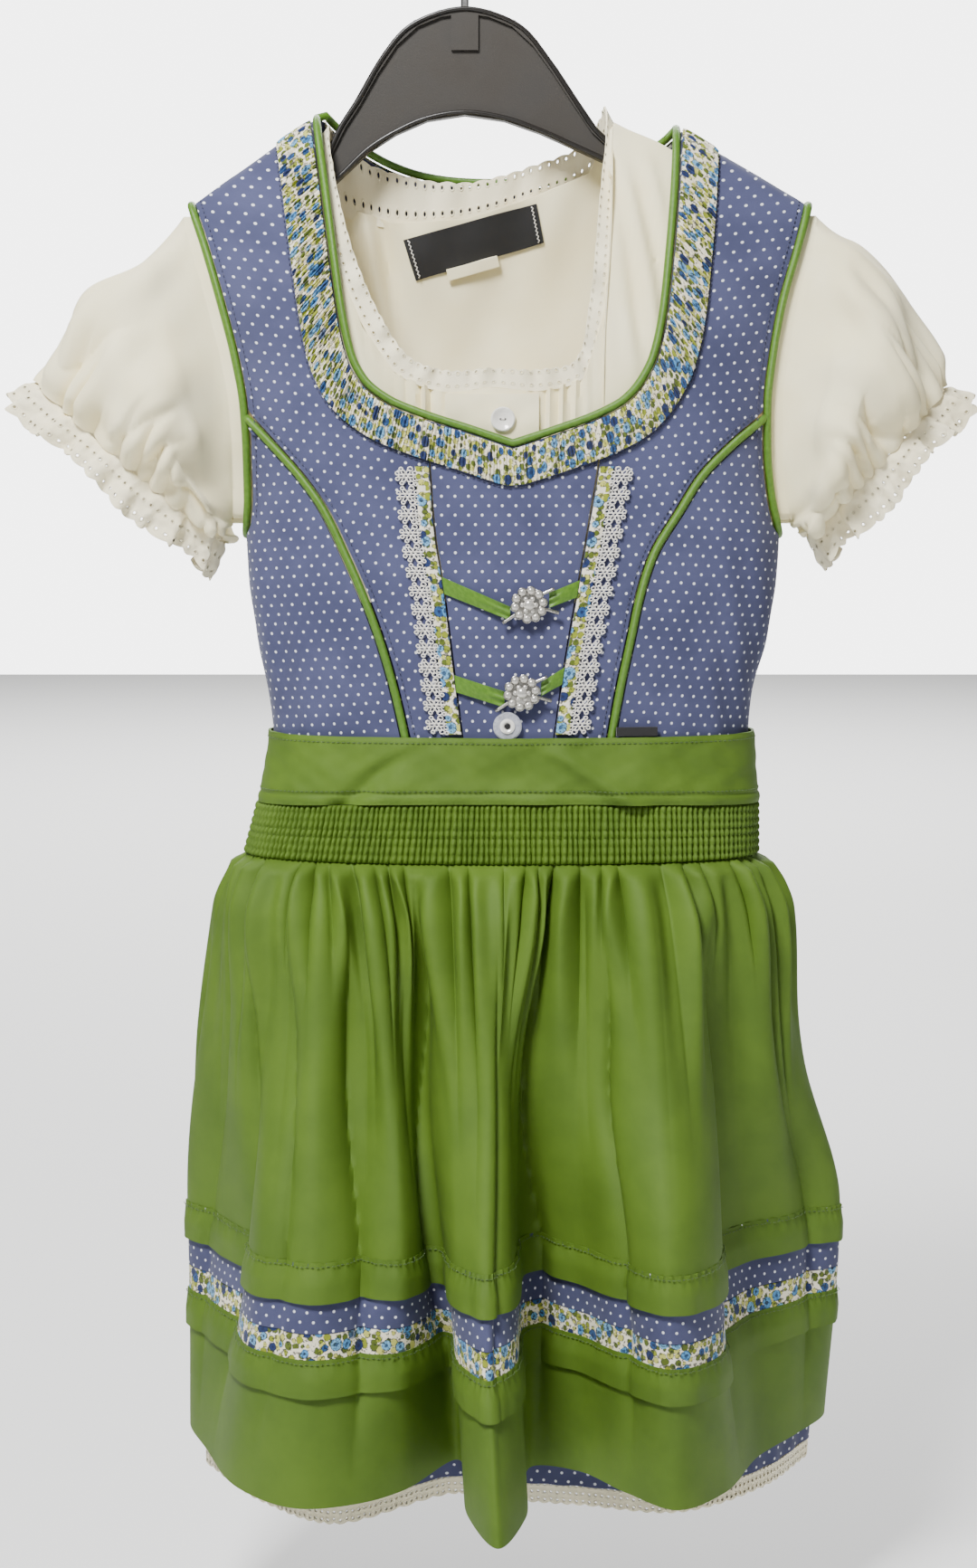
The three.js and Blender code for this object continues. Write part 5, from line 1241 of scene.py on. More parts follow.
def make_ruffle():
    def gathered(node, path, face, side, count, columns):
        strip = strip_beside(path, side * (PIPED + SEAM), side * RUFFLE_WIDTH)

        def surface(u, v):
            p = strip(u, 1 - v)
            return at_torso(p[..., 0], p[..., 1], face, DRESS)

        rng = np.random.default_rng(5)
        knots = np.linspace(0, 1, count + 1)
        slack = np.cumsum(rng.uniform(0.6, 1.4, count + 1))
        heights = rng.uniform(0.35, 1.0, count + 1)

        def detail(u, v, p):
            phase = np.interp(u, knots, slack)
            phase = phase + 0.25 * np.sin(phase * 1.3) * (v - 0.5)
            hill = np.abs(np.cos(np.pi * phase)) ** RUFFLE.narrow
            held_down = smooth(v, 0.0, RUFFLE.sewn) * smooth(1 - v, 0.0, RUFFLE.sewn)
            height = np.interp(u, knots, heights)
            return RUFFLE.under + RUFFLE.lift + RUFFLE.wave * hill * height * lerp(0.45, 1, held_down)

        def flat(u, v, p):
            s, t = flat_lengths(p)
            return s * RUFFLE.gathered, t

        look = {"thick": RUFFLE.thick, "detail": detail, "flat": flat, "held": "gathered"}
        cloth(node, surface, FINISH.floral, "floral", (columns, 10), **look)

    gathered("neck_ruffle_front", whole_neck, 1, 1, 240, 1900)
    x = np.linspace(whole_neck[-1, 0], whole_neck[0, 0], 200)
    back = np.stack([x, np.minimum(back_neck(x), DRESS.shoulder(x))], axis=1)
    gathered("neck_ruffle_back", back, -1, -1, 90, 700)


GUIPURE = SimpleNamespace(
    repeats=14, pitch=8.6, stretch=1.12, tuck=0.6, sink=0.5, step=0.15, thread=0.36, top=121, blossom=4.3
)
LEAF_LOOPS = [(-3.1, 2.5, 1.0), (3.1, 2.5, 1.0), (-1.3, 0.8, 0.85), (1.3, 0.8, 0.85), (-3.6, 0.7, 0.75)]
PETALS = SimpleNamespace(count=6, reach=1.9, size=(1.15, 0.7))
SCALLOPS = SimpleNamespace(angles=(-60, -20, 20, 60), reach=3.6, radius=0.75)


def lace_motif():
    """One repeat of the guipure: a blossom of loops with a scalloped outer edge, all of thick thread."""
    loops = []

    def ellipse(x, z, a, b, turn=0.0, count=8):
        t = round_turn(count)
        px, pz = a * np.cos(t), b * np.sin(t)
        c, s = math.cos(turn), math.sin(turn)
        loops.append(np.stack([x + px * c - pz * s, 0 * t, z + px * s + pz * c], axis=1))

    def round_blossom(turn, reach):
        return reach * math.cos(turn), GUIPURE.blossom + reach * math.sin(turn)

    ellipse(0, GUIPURE.blossom, SCALLOPS.radius, SCALLOPS.radius)
    for k in range(PETALS.count):
        turn = math.radians(60 * k + 30)
        ellipse(*round_blossom(turn, PETALS.reach), *PETALS.size, turn, 12)
    for x, z, radius in LEAF_LOOPS:
        ellipse(x, z, radius, radius)
    for angle in SCALLOPS.angles:
        ellipse(*round_blossom(math.radians(90 - angle), SCALLOPS.reach), SCALLOPS.radius, SCALLOPS.radius)
    return loops


def make_floral_strip(name, side, run):
    def surface(u, v):
        across = 1 - u if side < 0 else u
        p = run(v)
        return at_torso(p[..., 0] + side * lerp(TRIM_EDGE, FLORAL_STRIP, across), p[..., 1], 1, DRESS)

    def detail(u, v, p):
        return 0.25 * crumple(p, 9, 11) - 0.35 * np.abs(2 * u - 1) ** 6

    look = {"lift": STRIP_LIFT, "thick": 1, "detail": detail}
    cloth(f"floral_strip_{name}", surface, FINISH.floral, "floral", (14, 90), **look)


def make_lace_strip(name, side, run):
    motif = lace_motif()
    tubes = []
    for i in range(GUIPURE.repeats):
        at = (i + 0.5) / GUIPURE.repeats
        for k, loop in enumerate(motif):
            p = run(np.clip(at + loop[:, 0] / GUIPURE.pitch / GUIPURE.repeats, 0, 1))
            x = p[:, 0] + side * (FLORAL_STRIP - GUIPURE.tuck + loop[:, 2] * GUIPURE.stretch)
            q = at_torso(x, p[:, 1], 1, DRESS)
            q[:, 1] -= STRIP_LIFT - GUIPURE.sink + GUIPURE.step * (k % 3)
            tubes.append(tube("loop", q, GUIPURE.thread, FINISH.guipure, True, 5))
    dressed(joined(f"lace_strip_{name}_guipure", tubes), "lace", f"lace_strip_{name}")


def make_trims():
    for name, s in seams.items():
        run = by_length(above(below(s.trim, GUIPURE.top), BAND_TOP + 0.6))
        make_floral_strip(name, s.side, run)
        make_lace_strip(name, s.side, run)


# ---------- Blouse ----------
def arm_lines(name):
    side = SIDES[name]
    line = seams[name].armhole - np.array([side * 4, 0])
    top = np.array(BLOUSE_SHOULDER[0 if side < 0 else -1], float)

    def edge(z):
        return side_edge(side, z, z, BLOUSE, 1)

    hole = np.vstack([edge(UNDERARM), line[(line[:, 1] > 98) & (line[:, 1] < 222)], top])
    seam = np.vstack([edge(BLOUSE_HEM), edge(78), edge(UNDERARM)])
    return SimpleNamespace(hole=hole, border=bent(seam, hole[1:], 0.2))


arms = {name: arm_lines(name) for name in SIDES}
SHOULDER_COLUMNS = 3


VOILE = SimpleNamespace(gathers=2.4, pulls=2.2, front=1.0, behind=1.8, beside=(-37, 22), reach=9)


def soft_voile(u, v, p):
    """Gathers beside the placket, pulls at the shoulders and an uneven hang, larger behind."""
    x, z = p[..., 0], p[..., 2]
    gathers = np.sin(x * 1.15 + 0.4 * np.sin(z * 0.12))
    beside = sum(bell(x, middle, VOILE.reach) for middle in VOILE.beside)
    near_neck = smooth(z, 118, 150) * (1 - smooth(z, 175, 200)) * (p[..., 1] < 0)
    slanting = p * np.array([1.0, 0.3, 0.55])
    hangs = VOILE.front + VOILE.behind * (p[..., 1] > 0)
    shoulder = smooth(z, 150, 185) * (1 - smooth(z, 235, 262)) * smooth(np.abs(x), 44, 56)
    shoulder = shoulder * (1 - smooth(np.abs(x), 63, 71))
    pulled = np.sin(x * 0.5 + z * 0.11 + 0.8 * np.sin(z * 0.05)) * shoulder
    uneven = hangs * crumple(slanting, 40, 21) * smooth(z, 60, 90)
    return VOILE.gathers * gathers * beside * near_neck + VOILE.pulls * pulled + uneven


def make_blouse_body():
    def top_line(neck):
        neck = np.array([(row["x"], row["z"]) for row in neck], float)
        left, right = np.array(BLOUSE_SHOULDER[0], float), np.array(BLOUSE_SHOULDER[-1], float)
        shares = np.linspace(0, 1, SHOULDER_COLUMNS + 1)
        before = straight_to(left, neck[0])(shares[:-1])
        after = straight_to(neck[-1], right)(shares[1:])
        return np.vstack([before, neck, after])

    def body(node, face, neck, borders):
        top = top_line(neck)
        if face < 0:
            top = top[::-1]
        foot = np.stack([top[:, 0] * 1.02, np.full(len(top), float(BLOUSE_HEM))], axis=1)
        start, end = borders[0](np.float64(0)), borders[1](np.float64(0))
        for i in range(SHOULDER_COLUMNS):
            share = i / SHOULDER_COLUMNS
            near = [top[SHOULDER_COLUMNS][0], BLOUSE_HEM]
            far = [top[-1 - SHOULDER_COLUMNS][0], BLOUSE_HEM]
            foot[i] = straight_to(start, near)(np.float64(share))
            foot[-1 - i] = straight_to(end, far)(np.float64(share))
        surface = panel(BLOUSE, face, *borders, by_index(foot), by_index(top), 12)
        cloth(node, surface, FINISH.voile, "blouse", (170, 80), detail=soft_voile, held="hung")

    left, right = arms["left"].border, arms["right"].border
    body("blouse_front", 1, BLOUSE_NECK_FRONT, [left, right])
    body("blouse_back", -1, BLOUSE_NECK_BACK, [right, left])


def front_patch(layer, x0, x1, z0, z1):
    return lambda u, v: at_torso(lerp(x0, x1, u), lerp(z0, z1, v), 1, layer)


def make_placket():
    cloth(
        "blouse_placket", front_patch(BLOUSE, -28, 13, 108, 151), FINISH.voile, "blouse", (50, 50),
        lift=SEAM + 1, thick=1, detail=lambda u, v, p: 0.5 * crumple(p, 22, 33),
    )


def sleeve_surface(name):
    side = SIDES[name]
    rows = [dict(row, s=i / (len(SLEEVES[name]) - 1)) for i, row in enumerate(SLEEVES[name])]
    column = {key: curve(rows, "s", key) for key in ("top_x", "top_z", "low_x", "low_z", "depth")}
    hole = by_length(arms[name].hole)

    def at(turn, s):
        angle = 2 * np.pi * turn
        out = np.maximum(s, 0)
        gather = smooth(out, 0.6, 1) + smooth(1 - out, 0.6, 1)
        puff = 1 + 0.035 * gather * np.cos(SLEEVE_GATHERS * angle)
        along = (1 + puff * np.cos(angle)) / 2
        full = points(
            lerp(column["low_x"](out), column["top_x"](out), along),
            -column["depth"](out) * puff * signed_power(np.sin(angle), 0.85),
            lerp(column["low_z"](out), column["top_z"](out), along),
        )
        p = hole((1 + np.cos(angle)) / 2)
        front = np.sin(angle) >= 0
        edge = np.where(
            front[..., None],
            at_torso(p[..., 0], p[..., 1], 1, BLOUSE),
            at_torso(p[..., 0], p[..., 1], -1, BLOUSE),
        )
        edge[..., 0] += side * (TUNNEL.start + TUNNEL.length * np.minimum(out / TUNNEL.share, 1))
        apart = np.minimum(8 * np.abs(np.sin(angle)), 1)
        edge[..., 1] = np.where(front, -1, 1) * np.maximum(np.abs(edge[..., 1]), TUNNEL.depth) * apart
        return lerp(edge, full, smooth(out, TUNNEL.share, TUNNEL.end)[..., None])

    return at


ARM = SimpleNamespace(radius=40, length=52, bump=34, seeds={-1: 41, 1: 43}, fine=4.0, long=4.6, sag=4.2)


def make_sleeve(name):
    side = SIDES[name]
    sleeve = sleeve_surface(name)

    def turned(u):
        return -side * u

    def gathers(u, v, p):
        """Folds that run up from the elastic at uneven lengths, and longer ones down from the armhole."""
        s = 1 - v
        turn = turned(u)
        wander = ripple(turn, (3, 0.6, 1), (7, 0.35, 0))
        fine = puffs(27 * turn + wander * 2 / np.pi, 0.6) - 0.5
        start = 0.52 + ripple(turn, (5, 0.14, 2), (11, 0.08, 0))
        near_cuff = smooth(s, start, start + 0.36)
        long = puffs(10 * turn + 1.3 * s + wander * 2.2 / np.pi, 0.7) - 0.6
        middle = smooth(s, 0.16, 0.4) * (1 - smooth(s, 0.9, 1.0))
        angle = 2 * np.pi * turn
        round_arm = points(ARM.radius * np.cos(angle), ARM.radius * np.sin(angle), ARM.length * s)
        sag = crumple(round_arm, ARM.bump, ARM.seeds[side])
        return ARM.fine * fine * near_cuff + (ARM.long * long * smooth(s, 0.35, 0.8) + ARM.sag * sag) * middle

    cloth(
        f"blouse_sleeve_{name}", lambda u, v: sleeve(turned(u), 1 - v), FINISH.voile, "blouse", (260, 100),
        detail=gathers, loop=True, thick=1.0, held="gathered",
    )
    cuff = SLEEVES[name][-1]
    top, low = np.array([[cuff[f"{end}_x"], 0, cuff[f"{end}_z"]] for end in ("top", "low")])
    middle = (top + low) / 2
    up = unit(top - low)
    out = np.array([up[2], 0, -up[0]]) * side

    def frill(u, v):
        turn = turned(u)
        along = 1 - v
        rim = sleeve(turn, np.ones_like(u))
        spoke = unit(rim - middle)
        wave = np.cos(2 * np.pi * 14 * turn) + 0.7 * np.cos(2 * np.pi * 25 * turn + 1)
        scallop = 1.5 * puffs(46 * turn) * smooth(along, 0.7, 1)
        flare = 3.2 * along**0.7 * (1 + 0.85 * wave)
        reach = SEAM + 0.2 + (14 - 2 * np.cos(2 * np.pi * 5 * turn)) * along + scallop
        return rim + spoke * flare[..., None] + out * reach[..., None]

    cloth(
        f"blouse_cuff_frill_{name}", frill, FINISH.frill, "lace", (460, 16),
        loop=True, thick=0.8, detail=lambda u, v, p: 0.5 * crumple(p, 7, 47), held="gathered",
    )


FRILL = SimpleNamespace(base={1: 0.04, -1: -0.12}, scallops=74, scallop=0.9)
FRILL_WAVES = ((26, 1.1, 0), (41, 0.6, 1))


def make_neck_frill():
    def rows(neck, face, layer):
        made = []
        for i, row in enumerate(neck):
            pair = []
            for share in (FRILL.base[face], 1):
                px, pz = row["x"] + row["along_x"] * share, row["z"] + row["along_z"] * share
                if i in (0, len(neck) - 1):
                    pair.append(np.array([px, 0, pz]))
                else:
                    p = at_torso(np.float64(px), np.float64(pz), face, layer)
                    pair.append(np.array([p[0], p[1] + face * CLOTH / 2, pz]))
            made.append(pair)
        return made

    front = rows(BLOUSE_NECK_FRONT, 1, BLOUSE)
    back = rows(BLOUSE_NECK_BACK, -1, BEHIND)[::-1][1:-1]
    ring = np.array(front + back)
    base, tip = spline(ring[:, 0], closed=True), spline(ring[:, 1], closed=True)

    def surface(u, v):
        p = lerp(base(u), tip(u), v[..., None])
        p[..., 2] += FRILL.scallop * puffs(FRILL.scallops * u) * smooth(v, 0.75, 1)
        for count, height, turn in FRILL_WAVES:
            p[..., 1] += v * height * np.cos(2 * np.pi * count * u + turn)
        return p

    look = {"loop": True, "thick": 0.8, "held": "gathered"}
    cloth("blouse_neck_frill", surface, FINISH.frill, "lace", (740, 14), **look)


NECK_LABEL = ((-42, 203), (16, 220), (12.5, 237), (-47.5, 221))
CARE_LABEL = ((-27, 203), (-4, 209.5), (-5, 214), (-28, 208))
CARE_OUT = 1.4


def make_labels():
    def inside(corners, out=0):
        a, b, c, d = (np.array(corner, float) for corner in corners)

        def surface(u, v):
            low, high = lerp(a, b, u[..., None]), lerp(d, c, u[..., None])
            p = lerp(low, high, v[..., None])
            q = at_torso(p[..., 0], p[..., 1], -1, BLOUSE)
            q[..., 1] += soft_voile(u, v, q) - CLOTH - SEAM - 1 - out
            return q

        return surface

    def crease(u, v, p):
        return 0.35 * crumple(p, 30, 51)

    label = inside(NECK_LABEL)
    cloth("neck_label", label, FINISH.label, "label", (60, 20), thick=1, detail=crease)
    care = inside(CARE_LABEL, CARE_OUT)
    cloth("care_label", care, FINISH.voile, "blouse", (30, 12), thick=1, detail=crease)
    rows = np.linspace(0.04, 0.96, 19)
    for end in (0.035, 0.965):
        zigzag = end + 0.012 * (np.arange(19) % 2 - 0.5)
        seam = label(zigzag, rows) - np.array([0, 0.55, 0])
        dressed(tube("neck_label_stitches", seam, 0.3, FINISH.white_thread, sides=6), "label")
    tip = front_patch(DRESS, 47, 65, BAND_TOP + 0.5, BAND_TOP + 4.5)
    cloth("waist_label", tip, FINISH.label, "label", (30, 8), lift=2.6, thick=1)


# ---------- Fastenings ----------
RIBBONS = table(
    "name origin low high x end_low end_high",
    ("ribbon_upper_left", "left", 64, 71.5, 0.5, 52.5, 58.5),
    ("ribbon_upper_right", "right", 62.5, 70, 17.5, 58, 64.5),
    ("ribbon_lower_left", "left", 21, 28.5, -2, 14.5, 21.5),
    ("ribbon_lower_right", "right", 24.5, 32, 14, 19.5, 25.5),
)
RIBBON_RISE = 1.5
CLASPS = {"clasp_upper": (8.7, 59.5), "clasp_lower": (5.6, 21)}
CLASP_LIFT = 3.3


def make_ribbons():
    for row in RIBBONS:
        s = seams[row["origin"]]
        seam_at = monotone(s.trim[:, 1], s.trim[:, 0])

        def share(u, s=s):
            return u if s.side < 0 else 1 - u

        def surface(u, v, row=row, s=s, seam_at=seam_at, share=share):
            z = lerp(row["low"], row["high"], v)
            x = lerp(seam_at(z) + s.side * (TRIM_EDGE - SEAM), row["x"], share(u))
            return at_torso(x, lerp(z, lerp(row["end_low"], row["end_high"], v), share(u)), 1, DRESS)

        def pulled(u, v, p, share=share):
            near = share(u)
            pleats = 0.5 * np.cos(2 * np.pi * 2 * v) * smooth(near, 0.45, 1)
            crown = 0.5 * np.sin(np.pi * near) * (1 - (2 * v - 1) ** 2)
            return SEAM + 1 + RIBBON_RISE * near + pleats + crown

        cloth(row["name"], surface, FINISH.ribbon, "piping", (36, 14), thick=1, detail=pulled)


def ball(name, centre, radius, material, rings=6, squash=1.0):
    t = np.linspace(0, np.pi, rings + 1)[1:-1, None]
    f = round_turn(2 * rings)
    body = points(np.sin(t) * np.cos(f), -np.cos(t) * squash, np.sin(t) * np.sin(f))
    poles = [[0, -squash, 0], [0, squash, 0]]
    p = np.vstack([body.reshape(-1, 3), poles]) * radius + np.asarray(centre, float)
    south = body.shape[0] * body.shape[1]
    ids = wrapped(np.arange(south).reshape(body.shape[:2]))
    faces = quads(ids).tolist()
    first, last = ids[0].tolist(), ids[-1].tolist()
    for j in range(len(f)):
        faces += [(south, first[j + 1], first[j]), (south + 1, last[j], last[j + 1])]
    return mesh_object(name, p, faces, material)


CLASP = SimpleNamespace(plate=6.4, heart=2.5, cup=1.85, wire=0.34, bar=0.8)
CLASP_BEADS = table(
    "count first reach out radius squash cupped",
    (6, 0, 2.9, 2.3, 1.1, 0.8, False),
    (10, 10, 6.1, 1.6, 1.75, 0.75, True),
)
CLASP_BARS = [
    ((4, -0.9, -1), (13, -0.6, -3.6)),
    ((-4, -0.9, -3), (-11.5, -0.6, -8)),
    ((4, -0.9, 4), (11, -0.6, 7)),
]


def make_clasps():
    """A filigree blossom of beads in metal cups, with the bars of its hook and its eye."""
    for name, (x, z) in CLASPS.items():
        centre = np.array([x, front_depth(x, z, DRESS) - CLASP_LIFT, z])
        parts = [ball("plate", centre + (0, -0.9, 0), CLASP.plate, FINISH.silver, 12, 0.16)]
        parts.append(ball("bead", centre + (0, -2.6, 0), CLASP.heart, FINISH.bead, 8, 0.7))
        for row in CLASP_BEADS:
            for k in range(row["count"]):
                turn = math.radians(360 / row["count"] * k + row["first"])
                spot = centre + (row["reach"] * math.cos(turn), -row["out"], row["reach"] * math.sin(turn))
                parts.append(ball("bead", spot, row["radius"], FINISH.bead, 6, row["squash"]))
                if row["cupped"]:
                    t = round_turn(14)
                    cup = spot + points(CLASP.cup * np.cos(t), 0.3, CLASP.cup * np.sin(t))
                    parts.append(tube("cup", cup, CLASP.wire, FINISH.silver, True, 6))
        for start, end in CLASP_BARS:
            bar = centre + straight_to(start, end)(np.linspace(0, 1, 8))
            parts.append(tube("bar", bar, CLASP.bar, FINISH.silver, sides=8))
        dressed(joined(f"{name}_filigree", parts), "clasp", name)


def lathe(name, profile, centre, material, turns=40):
    """A round body about the line that points at the viewer, from (radius, height) rows."""
    t = round_turn(turns)
    r, h = np.array(profile, float).T[..., None]
    p = np.asarray(centre, float) + points(r * np.cos(t), -h, r * np.sin(t))
    ids = wrapped(np.arange(len(profile) * turns).reshape(len(profile), turns))
    return mesh_object(name, p.reshape(-1, 3), ring_faces(ids, True), material, sharp=SHARP_BUTTON)


PEARL = SimpleNamespace(x=-2.7, z=140, radius=5.4, hole=0.17)
CLEAR = SimpleNamespace(x=-0.7, z=6.2, radius=6.3)


def make_pearl_button():
    radius = PEARL.radius
    seat = front_depth(PEARL.x, PEARL.z, BLOUSE) - SEAM - 1.2
    centre = np.array([PEARL.x, seat, PEARL.z])
    rim = [(0.3, 0), (radius * 0.9, 0), (radius, 0.5), (radius, 1.2), (radius * 0.9, 1.75)]
    dish = [(radius * 0.75, 1.6), (radius * 0.62, 1.0), (0.3, 0.8)]
    parts = [lathe("rim", rim + dish, centre, FINISH.button)]
    # Painted shade: a near-black ball of the label's cloth sits in each hole and stands for the shade inside
    # it.
    for side in (-1, 1):
        spot = centre + (side * radius * PEARL.hole, -0.9, 0)
        parts.append(ball("hole", spot, radius * 0.1, FINISH.label, 6, 0.3))
    path = centre + points(np.linspace(-1, 1, 5) * radius * PEARL.hole, -1.0, 0)
    parts.append(tube("thread", path, 0.28, FINISH.white_thread, sides=6))
    dressed(joined("blouse_button_pearl", parts), "button", "blouse_button")


def make_clear_button():
    """A clear disc with a raised white ring on its shank and a dark ball in the middle, painted shade for its
    hole.
    """
    radius = CLEAR.radius
    centre = np.array([CLEAR.x, front_depth(CLEAR.x, CLEAR.z, DRESS) - SEAM - 0.8, CLEAR.z])
    disc = [(0.3, 0), (radius * 0.92, 0), (radius, 0.6), (radius, 1.5), (radius * 0.9, 2.0), (0.3, 1.5)]
    ring = [(1.5, 1.5), (3.4, 1.5), (3.2, 2.4), (2.3, 2.7), (1.6, 2.3), (1.4, 1.6)]
    parts = [
        lathe("disc", disc, centre, FINISH.clear),
        lathe("ring", ring, centre, FINISH.button),
        # Painted shade: the near-black ball stands for the shade in the button's hole.
        ball("hole", centre + (0, -1.9, 0), 1.3, FINISH.label, 8, 0.3),
    ]
    dressed(joined("bodice_button_clear", parts), "button", "bodice_button")


# ---------- Apron and skirt ----------
NEARBY = SimpleNamespace(turn=1e-3, fold=0.012)
LOWEST = -345
EDGE_STEPS = 481
SAG = 3


def band_point(angle, z, lift):
    p = on_torso(angle, z, DRESS)
    q = on_torso(angle + NEARBY.turn, z, DRESS)
    out = unit(points(q[..., 1] - p[..., 1], p[..., 0] - q[..., 0], 0 * p[..., 0]))
    return p + out * np.asarray(lift)[..., None]


class Drape:
    """Cloth that hangs from the torso at the shirring's lower edge through a table of folds."""

    def __init__(self, folds):
        self.last = len(folds) - 1
        self.angles = monotone(range(len(folds)), [row["top"] for row in folds])
        self.columns = []
        heights = [FOLD_HEIGHT.top, FOLD_HEIGHT.puff, FOLD_HEIGHT.mid, FOLD_HEIGHT.tuck, FOLD_HEIGHT.hem]
        for row in folds:
            start = on_torso(math.radians(row["top"]), np.float64(SHIRR_BOTTOM), DRESS)
            pair = []
            for axis, first in (("x", start[0]), ("y", start[1])):
                mid = row[f"mid_{axis}"]
                stations = [first, lerp(first, mid, PUFF_SHARE), mid, row[f"tuck_{axis}"], row[f"hem_{axis}"]]
                pair.append(monotone(heights, stations))
            self.columns.append(pair)

    def at(self, k, z, lift):
        """Points at shares k of the rows of folds; every row of z is level."""
        out = np.empty(k.shape + (3,))
        for j in range(k.shape[0]):
            level = z[j, 0]
            if level >= SHIRR_BOTTOM:
                out[j] = band_point(np.radians(self.angles(k[j] * self.last)), z[j], lift[j])
                continue
            station = max(level, LOWEST)
            section = spline([(x(station), y(station)) for x, y in self.columns])
            ends = [section(np.clip(k[j] + way * NEARBY.fold, 0, 1)) for way in (-1, 1)]
            along = ends[1] - ends[0]
            outward = unit(np.stack([along[:, 1], -along[:, 0]], axis=1))
            out[j, :, :2] = section(np.clip(k[j], 0, 1)) + outward * lift[j][:, None]
            out[j, :, 2] = z[j]
        return out


apron_drape = Drape(APRON_FOLDS)
skirt_drape = Drape(SKIRT_FRONT_FOLDS)
edge_angles = np.radians(apron_drape.angles(np.linspace(0, 1, EDGE_STEPS) * apron_drape.last))
edge_points = band_point(edge_angles, np.full(EDGE_STEPS, float(SHIRR_BOTTOM)), np.zeros(EDGE_STEPS))
edge_run = added_up(gaps(edge_points))
APRON_WIDTH = 620
SHIRRED = SimpleNamespace(flat=27, steps=(1150, 30), inner=-1.0, rib=2.1, held=0.4)


def share_of_width(share):
    """The share of the rows of folds at a share of the shirred edge's length."""
    return np.interp(share, edge_run / edge_run[-1], np.linspace(0, 1, EDGE_STEPS))


def gather_at(share, z):
    top = np.where(z > -68, smooth(-z, 52, 68), 1)
    return GATHER_DEPTH * smooth(z, -165, -68) * top * np.cos(2 * np.pi * APRON_GATHERS * share)


def fine_gathers(share, z):
    """The small sharp folds that leave the shirring and run out down the cloth at uneven lengths."""
    wander = ripple(share, (3.3, 0.55, 0.6), (9.1, 0.35, 0))
    lean = wander * 0.012 * (SHIRR_BOTTOM - z) / 40
    sharp = puffs(GATHERS.count * share + 0.8 * wander + lean, 0.75)
    reach = GATHERS.reach - 32 * ripple(share, (6.7, 1, 2), (15, 0.7, 0))
    near = smooth(z, reach - 30, -62) ** 1.4 * smooth(-z, 54, 60)
    long = ripple(share, (8.6, 1, 1.2 + 0.004 * z)) * smooth(-z, 80, 150) * smooth(z, -330, -180)
    broad = puffs(GATHERS.count / 2.6 * share + wander / np.pi, 0.7) - 0.6
    half_way = smooth(z, -215, -110) * smooth(-z, 58, 80)
    return GATHERS.depth * sharp * near + GATHERS.broad * broad * half_way + GATHERS.long * long


def valleys(k, z):
    """The sharp creases between the big folds, at their places in the table of folds."""
    deep = 0 * k
    for place, depth in VALLEYS:
        away = np.abs(k * apron_drape.last - place + 0.15 * np.sin(z / 40 + place))
        deep = deep + depth * np.exp(-away / VALLEY_WIDTH)
    return -deep * smooth(-z, 70, 130) * smooth(z, -330, -225)


def apron_folds(share, z):
    """All that the apron's folds add to its drape, at shares of its width."""
    return gather_at(share, z) + fine_gathers(share, z) + valleys(share_of_width(share), z)


FLAP_LIFT = 1.9
green_lines = []


def apron_piece(node, top, bottom, size, *, material=None, slot="apron", detail=None):
    def surface(offset):
        def at(u, v):
            z = lerp(float(bottom), float(top), v)
            more = apron_folds(u, z) + (detail(u, z) if detail else 0)
            return apron_drape.at(share_of_width(u), z, offset + more)

        return at

    u, v = grid(*size)
    outer, inner = surface(0.0)(u, v), surface(-CLOTH)(u, v)
    flat = (flat_lengths(outer)[0], lerp(float(bottom), float(top), v))
    obj = wall(f"{node}_cloth", outer, inner, material or FINISH.apron, flat)
    dressed(obj, slot, node)
    declared(outer, "gathered" if node == "apron_panel" else "hung")


def band_sag(angle):
    return SAG * np.sin(angle) ** 2


CREASES = SimpleNamespace(bulge=3.4, trough=-3.3, ridge=3.0, groove=0.7, large=1.0, small=0.4)
BAND_SEAMS = (0.2, 0.915)


def waistband(u, v):
    """The band with its slanting creases, its sewn groove and its rolled edges."""
    edge = APRON_FOLDS[0]["top"]
    angle = np.radians(lerp(edge, -edge, u))
    sag = band_sag(angle)
    z = lerp(BAND_BOTTOM + SEAM - sag, BAND_TOP, v)
    x = on_torso(angle, z, DRESS)[..., 0]
    creases = CREASES.bulge * bell(x, 0, 15) * smooth(z, -18, -3)
    creases = creases + CREASES.trough * bell(x - 1.1 * z, -41, 6) * smooth(-z, 2, 16)
    creases = creases + CREASES.ridge * bell(x + 1.4 * z, 14, 7) * smooth(-z, 0, 10)
    soft = CREASES.large * crumple(points(x, 0, z), 40, 61) + CREASES.small * crumple(points(x, 0, z), 14, 62)
    rolled = 0.5 * smooth(v, 0.93, 1) + 0.5 * smooth(1 - v, 0.93, 1)
    groove = CREASES.groove * bell(z - BAND_BOTTOM + sag, 5, 0.8)
    return band_point(angle, z, BAND_LIFT + CLOTH + creases + soft - rolled - groove)


def make_waistband():
    cloth("apron_waistband", waistband, FINISH.apron, "apron", (260, 48))
    even = np.linspace(0.01, 0.99, 300)
    for row in BAND_SEAMS:
        green_lines.append(waistband(even, np.full(300, row)) * np.array([1, 1.006, 1]))


